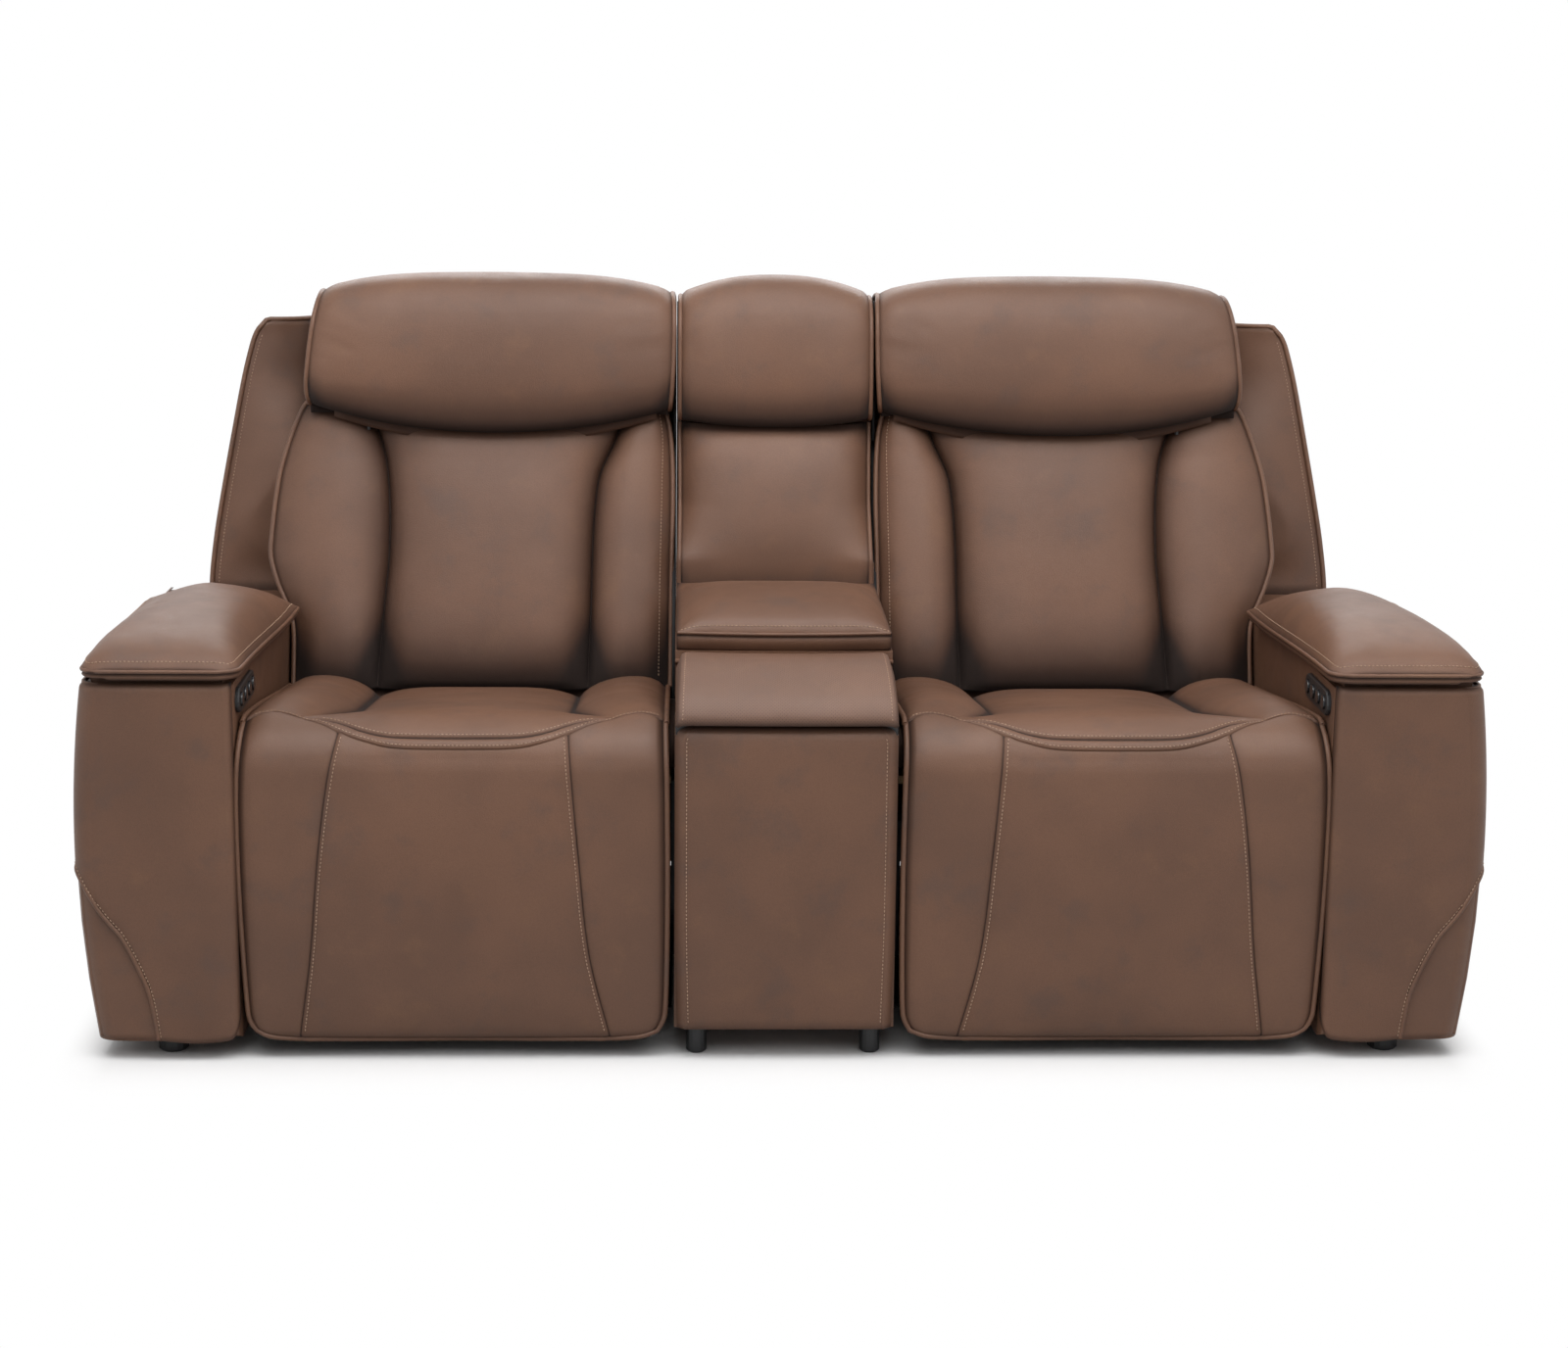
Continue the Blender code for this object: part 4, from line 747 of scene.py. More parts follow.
def front_panel():
    """The tall padded panel that hides the footrest, from its foot up over the seat's nose."""

    def place(s, t, d):
        face = panel_face(s, t)
        if d == 0:
            return face
        o, u = panel_run(s, t)
        if nose_line(u).z > panel_high[2] - 0.004:
            back = nose_line(u, plump(o, u) - 0.0055, MIDDLE + o * 0.998)
        else:
            back = Vector((MIDDLE + o * 0.985, panel_high[1] - 0.0015, face.z))
        return face.lerp(back, d)

    # Painted shade at the panel's seams, its sides, its foot and its top edge.
    def crease(s, t):
        seam = 0.75 * notch(abs(s) - PANEL_SEAM, 0.0035) + 0.22 * notch(abs(s) - PANEL_SEAM, 0.035)
        edge = 0.25 * ease(abs(s), 0.90, 1.0) + 0.6 * ease(abs(s), 0.975, 0.998)
        edge += 0.6 * ease(-t, 0.975, 1.0) + 0.25 * ease(t, 0.94, 1.0) + 0.6 * ease(t, 0.975, 1.0)
        return seam + edge

    columns = set(stations(56, -PANEL_SEAM, PANEL_SEAM, width=0.030))
    columns = sorted(columns | {a * PANEL_SEAM + b for a in (-1, 1) for b in (-0.0035, 0.0035)})
    rows = [-1.0, -0.995, -0.985, -0.97, -0.95] + spaced(-0.92, 1.84, 56)
    rows += [0.95, 0.965, 0.975, 0.985, 0.992, 1.0]
    return form(columns, rows, [0, 0.15, 1], place, crease)


def panel_rim():
    """The path of the welt round the front panel's sides and foot."""
    path = []
    for s, t in open_rim(60):
        point = panel_face(s, t, 0.0010)
        point.x += 0.0030 * s if abs(s) == 1 else 0.0
        point.z -= 0.0020 if t == -1 else 0.0
        path.append(point)
    return path


def seat_side(s):
    """The path of the welt along the seat's outer or inner side."""
    path = []
    start = lower_seam(0.31) + 0.004
    for k in range(70):
        u = start - (seat_high[1] - NOSE_Y - 0.004) * k / 69
        path.append(nose_line(u, plump(SEAT_HALF, u) - 0.0035, MIDDLE + seat_edge(s, u) + s * 0.0028))
    return path


def behind_seam(seam, offsets):
    """The path of the stitches behind a seam that crosses the seat."""
    return [nose_line(seam(o) - 0.0060, plump(o, seam(o)), MIDDLE + o) for o in offsets]


def beside_panel_seam(s):
    """The path of the stitches beside the front panel's outer or inner seam."""
    path = []
    for t in spaced(-0.96, 1.90, 89):
        o, u = panel_run(s * PANEL_SEAM, t)
        path.append(nose_line(u, 0.01, MIDDLE + o - s * 0.0058))
    return path


seat = seat_top()
panel = front_panel()
APRON = ("root", "{}_footrest", (0, -0.5, 0.475), (0, -0.5, 0.400))
puff(seat, 0.014)
puff(panel, 0.008)
both_sides(seat, "{}_seat_top", LEATHER, "root", ["{}_seat_cushion"])
both_sides(panel, "{}_front_panel", LEATHER, APRON, ["{}_footrest_pad"])
both_sides(cords([panel_rim()]), "{}_front_panel_welt", LEATHER, APRON)
both_sides(cords([seat_side(-1), seat_side(1)]), "{}_seat_welt", LEATHER, "root")
offsets = spaced(-0.292, 0.584, 160)
seat_seams = [behind_seam(lower_seam, offsets), behind_seam(upper_seam, offsets[26:135])]
both_sides(seams(surface_of(seat), seat_seams), "{}_seat_stitches", THREAD, "root")
panel_seams = [beside_panel_seam(-1), beside_panel_seam(1)]
both_sides(seams(surface_of(panel), panel_seams), "{}_panel_stitches", THREAD, APRON)


# Back cushion
def back_line(z):
    """Y of the plane that the back cushions lie on."""
    return back_high[1] + BACK_SLOPE * (z - back_high[2])


def back_inner_edge(z):
    """X of the back cushion's inner edge, beside the console."""
    return trace(z, (0.44, 0.173), (0.59, 0.172), (0.75, 0.170), (0.828, 0.174), (0.875, 0.184))


def back_outer_edge(z):
    """X of the back cushion's outer edge."""
    points = [(0.44, 0.779), (0.52, 0.780), (0.548, 0.787), (0.588, 0.805), (0.625, 0.817), (0.65, 0.819)]
    return trace(z, *points, (0.753, 0.808), (0.808, 0.794), (0.850, 0.778), (0.873, 0.766), (0.885, 0.752))


def inner_channel(z):
    """X of the sewn channel beside the back cushion's inner panel."""
    points = [(0.415, 0.305), (0.473, 0.303), (0.554, 0.300), (0.652, 0.298), (0.716, 0.294)]
    return trace(z, *points, (0.765, 0.286), (0.813, 0.264), (0.856, 0.247))


def outer_channel(z):
    """X of the sewn channel beside the back cushion's outer panel."""
    points = [(0.422, 0.647), (0.504, 0.641), (0.586, 0.634), (0.63, 0.630), (0.715, 0.630)]
    return trace(z, *points, (0.779, 0.636), (0.820, 0.646), (0.852, 0.657))


BACK_SEAM = 0.52


def back_place(s, t):
    """X and Z of a point on the back cushion's face."""
    low = back_low[2] - 0.010
    z = low + (0.850 + 0.036 * abs(s) ** 3 - low) * (t + 1) / 2
    marks = [back_inner_edge(z), inner_channel(z), outer_channel(z), back_outer_edge(z)]
    if s < -BACK_SEAM:
        return marks[0] + (marks[1] - marks[0]) * (s + 1) / (1 - BACK_SEAM), z
    if s < BACK_SEAM:
        return marks[1] + (marks[2] - marks[1]) * (s + BACK_SEAM) / (2 * BACK_SEAM), z
    return marks[2] + (marks[3] - marks[2]) * (s - BACK_SEAM) / (1 - BACK_SEAM), z


def back_face(s, t):
    """A point on the back cushion's face, with its swell over each panel."""
    x, z = back_place(s, t)
    if abs(s) < BACK_SEAM:
        swell = 0.043 * (1 - (abs(s) / BACK_SEAM) ** 5)
    else:
        b = (abs(s) - BACK_SEAM) / (1 - BACK_SEAM)
        swell = trace(b, (0, 0), (0.06, 0.013), (0.18, 0.025), (0.35, 0.034), (0.55, 0.034),
                      (0.78, 0.026), (0.94, 0.009), (1, 0))
    swell *= trace(t, (-1, 0.25), (-0.93, 0.62), (-0.75, 0.92), (-0.35, 1), (0.3, 1),
                   (0.75, 0.86), (0.93, 0.62), (1, 0.40))
    swell -= 0.009 * notch(abs(s) - BACK_SEAM, 0.014) * (1 - 0.5 * t**8)
    swell += 0.008 * ease(t, 0.7, 1.0)
    return Vector((x, back_line(z) - 0.070 - swell, z))


def back_pad():
    """The back cushion: a wide centre and two side panels."""

    def place(s, t, d):
        face = back_face(s, t)
        if d == 0:
            return face
        x, z = back_place(s, t)
        rear_z = min(z, back_high[2] - 0.001 * (1 - abs(s)))
        back = Vector((x, back_line(min(z, back_high[2])) - 0.001, rear_z))
        mid = face.lerp(back, d)
        if s == 1:
            mid.x += 0.007 * sin(pi * d)
        if s == -1:
            mid.x -= 0.0015 * sin(pi * d)
        return mid

    # Painted shade in the channels, at the sides, growing over the lower part to the foot, and under the top.
    def crease(s, t):
        away = abs(s) - BACK_SEAM
        channel = (0.50 * notch(away, 0.004) + 0.60 * notch(away, 0.085)) * (1 - 0.3 * t**8)
        edge = 0.30 * ease(abs(s), 0.84, 1.0) + 0.45 * ease(abs(s), 0.975, 0.998)
        foot = 0.90 * ease(-t, 0.32, 0.98)
        return channel + edge + foot + 0.2 * ease(-t, 0.93, 1.0) + 0.6 * ease(t, 0.84, 1.0)

    columns = set(stations(64, -BACK_SEAM, BACK_SEAM, width=0.040) + [-0.99, -0.98, 0.98, 0.99])
    columns = sorted(columns | {a * BACK_SEAM + b for a in (-1, 1) for b in (-0.0045, 0.0045)})
    rows = [-1.0, -0.985, -0.965, -0.94] + spaced(-0.91, 1.82, 60) + [0.935, 0.955, 0.975, 0.99, 1.0]
    return form(columns, rows, [0, 0.1, 0.3, 0.7, 1], place, crease)


back = back_pad()
puff(back, 0.016)
both_sides(back, "{}_back_pad", LEATHER, "{}_back", ["{}_back_cushion"])
back_sides = side_paths(back_face, -0.98, 1.98, 90, 0.0028, 0.0012)
both_sides(cords(back_sides), "{}_back_welt", LEATHER, "{}_back")
back_seams = [[back_face(-0.94, t) for t in spaced(-0.90, 1.86, 90)]]
both_sides(seams(surface_of(back), back_seams), "{}_back_stitches", THREAD, "{}_back")


def neck_cover():
    """The leather between the back cushion and the headrest, behind the headrest's lip."""

    def place(s, t, d):
        lip = 0.835 + 0.043 * s * s
        return Vector((0.4560 + s * 0.262, 0.1790 + 0.0035 * d, lip - 0.003 + 0.017 * t))

    # Painted shade: the cover is painted dark, from 0.54 at its foot to 0.9 at its top, behind the headrest's
    # lip.
    return form(stations(24), stations(6), [0, 1], place, lambda s, t: 0.72 + 0.18 * t)


NECK = ("{}_back", "{}_headrest", (0, 0.19, 0.835), (0, 0.19, 0.862))
both_sides(neck_cover(), "{}_neck_cover", LEATHER, NECK)


# Headrest and console pillow
def roll_profile(t):
    """The pillow's outline seen from its end, from the lip below its front over its top to its rear."""
    y = trace(t, (-1, 0.165), (-0.93, 0.155), (-0.8, 0.147), (-0.45, 0.143), (0, 0.150), (0.35, 0.163),
              (0.55, 0.181), (0.7, 0.207), (0.85, 0.250), (1, 0.300))
    z = trace(t, (-1, 0.835), (-0.93, 0.838), (-0.8, 0.853), (-0.45, 0.905), (0, 0.975), (0.35, 1.035),
              (0.55, 1.068), (0.7, 1.085), (0.85, 1.088), (1, 1.074))
    return y, z


def roll_form(inner, outer, lift, rise, fall, bulge, power=3.5):
    """A pillow between two edges, as its mesh and its face.

    lift raises its lip, rise bows the lip up towards its ends, fall drops its top corners by a curve
    of the given power, and bulge swells its outer end.
    """

    def face(s, t):
        y, z = roll_profile(t)
        low = ease(-t, -0.35, 1.0)
        high = ease(t, -0.1, 0.6)
        z += (lift + rise * s * s * (0.85 if s < 0 else 1.0)) * low - fall * abs(s) ** power * high
        z -= 0.007 * curl(abs(s), 0.93) * high
        y += 0.020 * abs(s) ** 6 * (1 - 0.5 * high) + 0.005 * curl(abs(s), 0.92)
        left, right = inner(z), outer(z)
        return Vector(((left + right) / 2 + s * (right - left) / 2, y, z))

    def place(s, t, d):
        front = face(s, t)
        if d == 0:
            return front
        rear = Vector((front.x, 0.317, 0.866 + 0.19 * (t + 1) / 2 - 0.02 * abs(s) ** 3.5 * ease(t, 0, 1)))
        if t == -1:
            lip = [(0.0, front.y, front.z), (0.1, front.y + 0.010, front.z), (0.25, 0.181, front.z + 0.012)]
            lip += [(0.4, 0.1835, 0.864), (1.0, 0.317, 0.866)]
            for (d0, y0, z0), (d1, y1, z1) in zip(lip, lip[1:]):
                if d <= d1:
                    f = (d - d0) / (d1 - d0)
                    return Vector((front.x, y0 + (y1 - y0) * f, z0 + (z1 - z0) * f))
        mid = front.lerp(rear, d)
        if abs(s) == 1:
            mid.x += (bulge if s > 0 else -0.0012) * sin(pi * d)
        if t == 1:
            mid.z += 0.004 * sin(pi * d)
        return mid

    # Painted shade at the pillow's ends, growing down its lower roll to the lip.
    def crease(s, t):
        edge = 0.25 * ease(abs(s), 0.90, 1.0) + 0.55 * ease(abs(s), 0.98, 0.999)
        return edge + 0.92 * ease(-t, 0.28, 0.98) + 0.3 * ease(-t, 0.92, 1.0)

    is_wide = outer(1.0) > 0.3
    columns = sorted(set(stations(60 if is_wide else 36) + [-0.99, -0.975, 0.975, 0.99]))
    rows = [-1.0, -0.985, -0.965, -0.94] + spaced(-0.91, 1.91, 56)
    return form(columns, rows, [0, 0.1, 0.25, 0.4, 1], place, crease), face


def head_inner(z):
    """X of the headrest's inner edge."""
    return trace(z, (0.863, 0.1755), (0.886, 0.1720), (0.95, 0.1680), (1.045, 0.1676), (1.067, 0.1735))


def head_outer(z):
    """X of the headrest's outer edge."""
    return trace(z, (0.863, 0.752), (0.899, 0.760), (0.946, 0.757), (0.994, 0.751), (1.035, 0.744),
                 (1.065, 0.737))


def roll_welts(face):
    """The welts round a pillow's two ends."""
    return cords(side_paths(face, -0.99, 1.99, 90, 0.0012, 0.0008))


headrest, headrest_face = roll_form(head_inner, head_outer, 0.0, 0.043, 0.026, 0.009)
puff(headrest, 0.012)
both_sides(headrest, "{}_headrest", LEATHER, "{}_headrest", ["{}_headrest_pad"])
both_sides(roll_welts(headrest_face), "{}_headrest_welt", LEATHER, "{}_headrest")
pillow, pillow_face = roll_form(lambda z: -0.1540, lambda z: 0.1540, 0.012, 0.012, 0.030, 0.0012, 2.3)
puff(pillow, 0.008)
dress(pillow, "console_head_pillow", LEATHER, "root", ["console_pillow"])
dress(roll_welts(pillow_face), "console_pillow_welt", LEATHER, "root")


def console_back_face(s, t):
    """A point on the face of the console's back cushion."""
    z = 0.597 + (0.850 - 0.597) * (t + 1) / 2
    half = trace(z, (0.60, 0.1545), (0.72, 0.1530), (0.85, 0.1540))
    middle = trace(z, (0.597, 0.1005), (0.64, 0.1005), (0.70, 0.110), (0.76, 0.127), (0.80, 0.143),
                   (0.83, 0.160), (0.85, 0.176))
    side = min(back_line(z) - 0.066, 0.1025 + 0.9 * max(0.0, z - 0.640))
    return Vector((s * half, middle + (side - middle) * (0.35 * abs(s) ** 2.5 + 0.65 * abs(s) ** 9), z))


def console_back_pad():
    """The console's back cushion."""

    def place(s, t, d):
        face = console_back_face(s, t)
        rear_z = min(max(face.z, 0.6365), 0.831)
        rear = Vector((face.x, max(back_line(rear_z) - 0.001, 0.1035), rear_z))
        if face.z < 0.6365:
            rear = Vector((face.x, 0.1035, face.z))
        mid = face.lerp(rear, d)
        if abs(s) == 1:
            mid.x += s * 0.002 * sin(pi * d)
        return mid

    # Painted shade at the cushion's sides, its foot on the lid and its top.
    def crease(s, t):
        edge = 0.3 * ease(abs(s), 0.86, 1.0) + 0.5 * ease(abs(s), 0.97, 0.998)
        return edge + 0.45 * ease(-t, 0.70, 1.0) + 0.75 * ease(t, 0.82, 0.97)

    columns = sorted(set(stations(36) + [-0.985, -0.965, 0.965, 0.985]))
    rows = sorted(set(stations(34) + [-0.985, -0.965, 0.965, 0.985]))
    return form(columns, rows, [0, 0.15, 0.5, 1], place, crease)


console_cushion = console_back_pad()
puff(console_cushion, 0.008)
dress(console_cushion, "console_back_pad", LEATHER, "root", ["console_back_cushion"])
console_back_sides = side_paths(console_back_face, -0.98, 1.97, 50, 0.0018, 0.001)
dress(cords(console_back_sides, 0.0038), "console_back_welt", LEATHER, "root")


# Back shells
SHOULDER = 0.776


def wing_edge(z):
    """X of the back shell's outer edge. The wing reaches out to it from SHOULDER."""
    points = [(0.345, 0.943), (0.563, 0.943), (0.638, 0.936), (0.714, 0.924), (0.814, 0.906)]
    return trace(z, *points, (0.904, 0.889), (0.950, 0.878), (0.975, 0.870), (0.990, 0.860), (0.998, 0.845))


def wing_front(z):
    """Y of the wing's front edge."""
    return max(0.268 + 0.188 * (z - 0.557), 0.268 + 0.45 * (0.450 - z))


def shell_front(x, z):
    """Y of the shell's front face: plain behind the cushion, then hollowed out to the wing's edge."""
    if x < 0.770:
        return back_line(z) + 0.0008 if z < 0.838 else 0.353 + 0.10 * (z - 0.838)
    root = back_line(z) + 0.004 + 0.069 * ease(z, 0.76, 0.93)
    root += (wing_front(z) - root) * (1 - ease(z, 0.575, 0.70))
    e = min(max((x - SHOULDER) / (wing_edge(z) - 0.010 - SHOULDER), 0.0), 1.0)
    hollow = 0.007 * sin(pi * e) * ease(z, 0.575, 0.70)
    return max(root + (wing_front(z) - root) * e ** 0.85 - hollow, 0.2685)


def shell_rear(z):
    """Y of the shell's rear face."""
    return 0.430 + 0.1485 * (z - 0.345)


def shell_top(s):
    """Height of the back shell's top, highest at its outer corner."""
    return 0.9985 + 0.0015 * ease(s, 0.0, 0.95)


def back_shell():
    """The back's outer shell with its wing, rounded over its top and its outer edge."""
    low = shell_low[2]
    inner = shell_low[0] + 0.0005

    def outline(s, t):
        z = low + (shell_top(s) - low) * (t + 1) / 2
        if s < 0:
            return inner + (SHOULDER - inner) * (s + 1), z
        return SHOULDER + (wing_edge(z) - SHOULDER) * s, z

    def place(s, t, d):
        x, z = outline(s, t)
        front = shell_front(x, z)
        rear = shell_rear(z) - 0.012 * ease(-t, 0.8, 1.0)
        y = front + (rear - front) * d
        drop = trace(d, (0, 0.0), (0.05, 0.002), (0.12, 0.0055), (0.75, 0.031), (0.93, 0.039), (1, 0.045))
        z -= drop * (t + 1) / 2
        if d == 1:
            x -= 0.034 * max(s, 0.0)
        elif s == 1:
            x -= trace(d, (0, 0.006), (0.05, 0.002), (0.12, 0), (0.8, 0.0), (0.93, 0.010), (1, 0.034))
        y += 0.010 * curl(t, 0.965) * (1 - d)
        if t == -1:
            z += 0.012 * ease(d, 0.8, 1.0)
        return Vector((x, y, z))

    # Painted shade: the whole wing is painted a little darker, and darker still at the shoulder, the outer
    # edge, the top and the lower part.
    def crease(s, t):
        edge = 0.22 * ease(s, 0, 0.1) + 0.6 * ease(s, 0.955, 1.0) + 0.6 * notch(s, 0.16)
        return edge + 0.5 * ease(t, 0.97, 1.0) + 0.5 * ease(-t, 0.30, 0.36)

    columns = [-1.0, -0.8, -0.5, -0.25, -0.1, -0.03, 0.0] + spaced(0.03, 0.90, 18) + [0.96, 0.985, 1.0]
    rows = sorted(set(stations(72, 0.51, width=0.012) + [0.965, 0.98, 0.99]))
    return form(columns, rows, [0, 0.05, 0.12, 0.3, 0.55, 0.75, 0.87, 0.94, 1], place, crease)


def plate(bm, outline, low, high):
    """A flat plate between two X places, from its outline in Y and Z, added to the mesh."""
    face = bm.faces.new([bm.verts.new((low, y, z)) for y, z in outline])
    grown = bmesh.ops.extrude_face_region(bm, geom=[face], use_keep_orig=True)["geom"]
    moved = [v for v in grown if isinstance(v, bmesh.types.BMVert)]
    bmesh.ops.translate(bm, verts=moved, vec=(high - low, 0, 0))


def back_irons():
    """The steel arms low on the back's sides, and the brackets under the headrest's cradle."""
    bm = bmesh.new()
    arm = [(0.139, 0.387), (0.136, 0.375), (0.140, 0.363), (0.150, 0.359), (0.160, 0.363)]
    arm += [(0.250, 0.428), (0.242, 0.448), (0.228, 0.450)]
    for low, high in ((0.1666, 0.1753), (0.7757, 0.7844)):
        plate(bm, arm, low, high)
    bracket = [(0.185, 0.8355), (0.365, 0.8355), (0.365, 0.8435), (0.202, 0.8435)]
    bracket += [(0.194, 0.853), (0.185, 0.851)]
    for x in (0.2855, 0.6605):
        plate(bm, bracket, x, x + 0.005)
    bmesh.ops.bevel(bm, geom=bm.edges[:], offset=0.0009, segments=2, affect="EDGES", profile=0.5, material=-1)
    bmesh.ops.recalc_face_normals(bm, faces=bm.faces[:])
    return bm


def wing_rim():
    """The path of the welt up the wing's edge and over its top corner."""
    path = []
    for z in spaced(0.50, 0.490, 89):
        x = wing_edge(z) - 0.004
        path.append(Vector((x, shell_front(x, z) - 0.0015, z)))
    for k in range(1, 12):
        x = wing_edge(0.990) - 0.004 - 0.075 * k / 11
        z = shell_top((x - SHOULDER) / (wing_edge(0.995) - SHOULDER))
        turn = ease(k, 0, 2)
        path.append(Vector((x, shell_front(x, z) + 0.0085 * turn, z - 0.0035 + 0.0030 * turn)))
    return path


def beside_wing_rim():
    """The path of the stitches inside the wing's edge."""
    path = []
    for z in spaced(0.56, 0.415, 89):
        x = wing_edge(z) - 0.0155
        path.append(Vector((x, shell_front(x, z) - 0.002, z)))
    return path


shell = back_shell()
both_sides(shell, "{}_back_shell", LEATHER, "{}_back", ["{}_back_frame"])
both_sides(back_irons(), "{}_back_irons", STEEL, "{}_back")
both_sides(cords([wing_rim()]), "{}_wing_welt", LEATHER, "{}_back")
both_sides(seams(surface_of(shell), [beside_wing_rim()]), "{}_wing_stitches", THREAD, "{}_back")


# Arms
ARM_TOP = 0.5615
ARM_FRONT = -0.5085
ARM_REAR = 0.2490
INNER_ROUND = 0.012
OUTER_ROUND = 0.030
COVER_END = 2.5


def arm_side(z):
    """X of the arm's bowed outer side."""
    t = (z - arm_low[2]) / (0.557 - arm_low[2])
    return 1.004 - 0.006 * (1 - t) + 0.0195 * 4 * t * (1 - t)


def arm_skin_point(q, z, out=0.0):
    """A point on the arm's cover, or out from it. q runs round it from its inner front edge.

    Up to 0.2 it rounds the inner corner, to 1.0 it crosses the front, to 1.3 it rounds the outer
    corner, and to COVER_END it goes back along the side.
    """
    inner = arm_low[0] + 0.0008
    front = ARM_FRONT - out
    side = arm_side(z) + 0.003 + out
    if q < 0.2:
        a = q / 0.2 * pi / 2
        return Vector((inner + INNER_ROUND * (1 - cos(a)), front + INNER_ROUND * (1 - sin(a)), z))
    if q < 1.0:
        f = (q - 0.2) / 0.8
        crown = 0.0045 * (1 - (2 * f - 1) ** 4) * (1 - ((z - 0.29) / 0.29) ** 6)
        width = side - inner - INNER_ROUND - OUTER_ROUND
        return Vector((inner + INNER_ROUND + width * f, front - crown, z))
    if q < 1.3:
        a = (q - 1.0) / 0.3 * pi / 2
        return Vector((side - OUTER_ROUND * (1 - sin(a)), front + OUTER_ROUND * (1 - cos(a)), z))
    f = (q - 1.3) / 1.2
    return Vector((side, front + OUTER_ROUND + (ARM_REAR - front - OUTER_ROUND) * f, z))


def corner_seam(q):
    """Height of the corner panel's top edge along the arm's cover."""
    points = [(0.700, 0.005), (0.7065, 0.060), (0.713, 0.086), (0.73, 0.110), (0.765, 0.136), (0.815, 0.166)]
    points += [(0.865, 0.190), (0.925, 0.208), (0.97, 0.222), (1.02, 0.239), (1.08, 0.256), (1.15, 0.272)]
    return trace(q, *points, (1.25, 0.284), (1.4, 0.292), (2.5, 0.300))


def metres_per_q(q):
    """Metres of the cover in one whole step of q, on its front or on its side."""
    return 0.27 if q < 1.0 else 0.45


def seam_distance(q, z):
    """Metres from the corner panel's top edge, above it or below 0. Far from it on the front."""
    if q <= 0.6:
        return 1.0
    steep = (corner_seam(q + 0.01) - corner_seam(q - 0.01)) / (0.02 * metres_per_q(q))
    return max((z - corner_seam(q)) / sqrt(1 + steep * steep), z - corner_seam(q + 0.015) - 0.004)


def arm_skin():
    """The leather over the arm's front and outer side, with its sewn corner panel."""
    low = arm_low[2] - 0.004

    def height(q, t):
        drop = 0.004 * sin(pi * min(max((q - 0.2) / 0.5, 0.0), 1.0))
        foot = low + 0.003 - drop + 0.012 * max(0.0, 1 - (q - 0.12) / 0.13) ** 2
        return foot + (ARM_TOP - foot) * (t + 1) / 2

    def place(s, t, d):
        q = (s + 1) / 2 * COVER_END
        z = height(q, t)
        away = seam_distance(q, z)
        inset = 0.0030 * ease(-away, 0.0, 0.0045) + 0.0012 * notch(away, 0.0030)
        face = arm_skin_point(q, z, -inset - 0.007 * curl(abs(t), 0.965))
        if d == 0:
            return face
        back = arm_skin_point(q, z, -0.0072 if q < 1.0 else -0.0022 - 0.005 * (1 - ease(q, 1.0, 1.3)))
        return face.lerp(back, d)

    # Painted shade along the corner panel's seam, at the cover's top and foot, and round its inner front
    # edge.
    def crease(s, t):
        q = (s + 1) / 2 * COVER_END
        away = seam_distance(q, height(q, t))
        edge = 0.55 * ease(t, 0.955, 1.0) + 0.4 * ease(-t, 0.96, 1.0) + 0.6 * ease(-q, -0.14, -0.02)
        return 0.70 * notch(away, 0.0045) + 0.28 * notch(away, 0.016) + edge

    columns = spaced(-1.0, 0.45, 40)[:-1] + spaced(-0.55, 0.47, 110)[:-1] + spaced(-0.08, 0.14, 16)[:-1]
    columns += spaced(0.06, 0.94, 26)
    rows = sorted(set(stations(150) + [0.992, -0.992]))
    return form(columns, rows, [0, 1], place, crease)


def corner_paths():
    """The paths of the welt on the corner panel's top edge and of the stitches above it."""
    edge = []
    above = []
    for k in range(200):
        q = 0.7005 + (k / 199) ** 2.4
        z = corner_seam(q)
        if z > 0.034:
            steep = (corner_seam(q + 0.004) - corner_seam(q - 0.004)) / (0.008 * metres_per_q(q))
            away = 0.0078 / sqrt(1 + steep * steep)
            edge.append(arm_skin_point(q, z, -0.0012))
            above.append(arm_skin_point(q - away * steep / metres_per_q(q), z + away, 0.002))
    return edge, above


skin = arm_skin()
both_sides(skin, "{}_arm_cover", LEATHER, "root")
corner_edge, above_corner = corner_paths()
both_sides(cords([corner_edge], 0.0034), "{}_arm_welt", LEATHER, "root")
both_sides(seams(surface_of(skin), [above_corner]), "{}_arm_stitches", THREAD, "root")


# Arm lids
LID_OUTER = lid_high[0] - 0.001
LID_EDGE = 0.5835


def lid_sides(y):
    """The arm lid's inner and outer edge, drawn in round its corners."""
    front = rounding(y - lid_low[1] - 0.001, 0.030)
    from_rear = lid_high[1] - 0.001 - y
    inner = trace(y, (-0.52, 0.7785), (-0.40, 0.7750), (-0.25, 0.7710), (-0.10, 0.7680), (0.06, 0.7670))
    inner += front + rounding(from_rear, 0.016)
    return inner, LID_OUTER - front - 0.7 * rounding(from_rear, 0.060)


def lid_plan(s, t):
    """A point of the arm lid's outline in plan."""
    y = lid_low[1] + 0.001 + (lid_high[1] - lid_low[1] - 0.002) * (t + 1) / 2
    inner, outer = lid_sides(y)
    return (inner + outer) / 2 + s * (outer - inner) / 2, y


def lid_drop(s, t):
    """How far the lid's edge hangs lower at its inner rear."""
    return 0.016 * ease(t, -0.8, 1.0) * ease(-s, -0.2, 1.0)


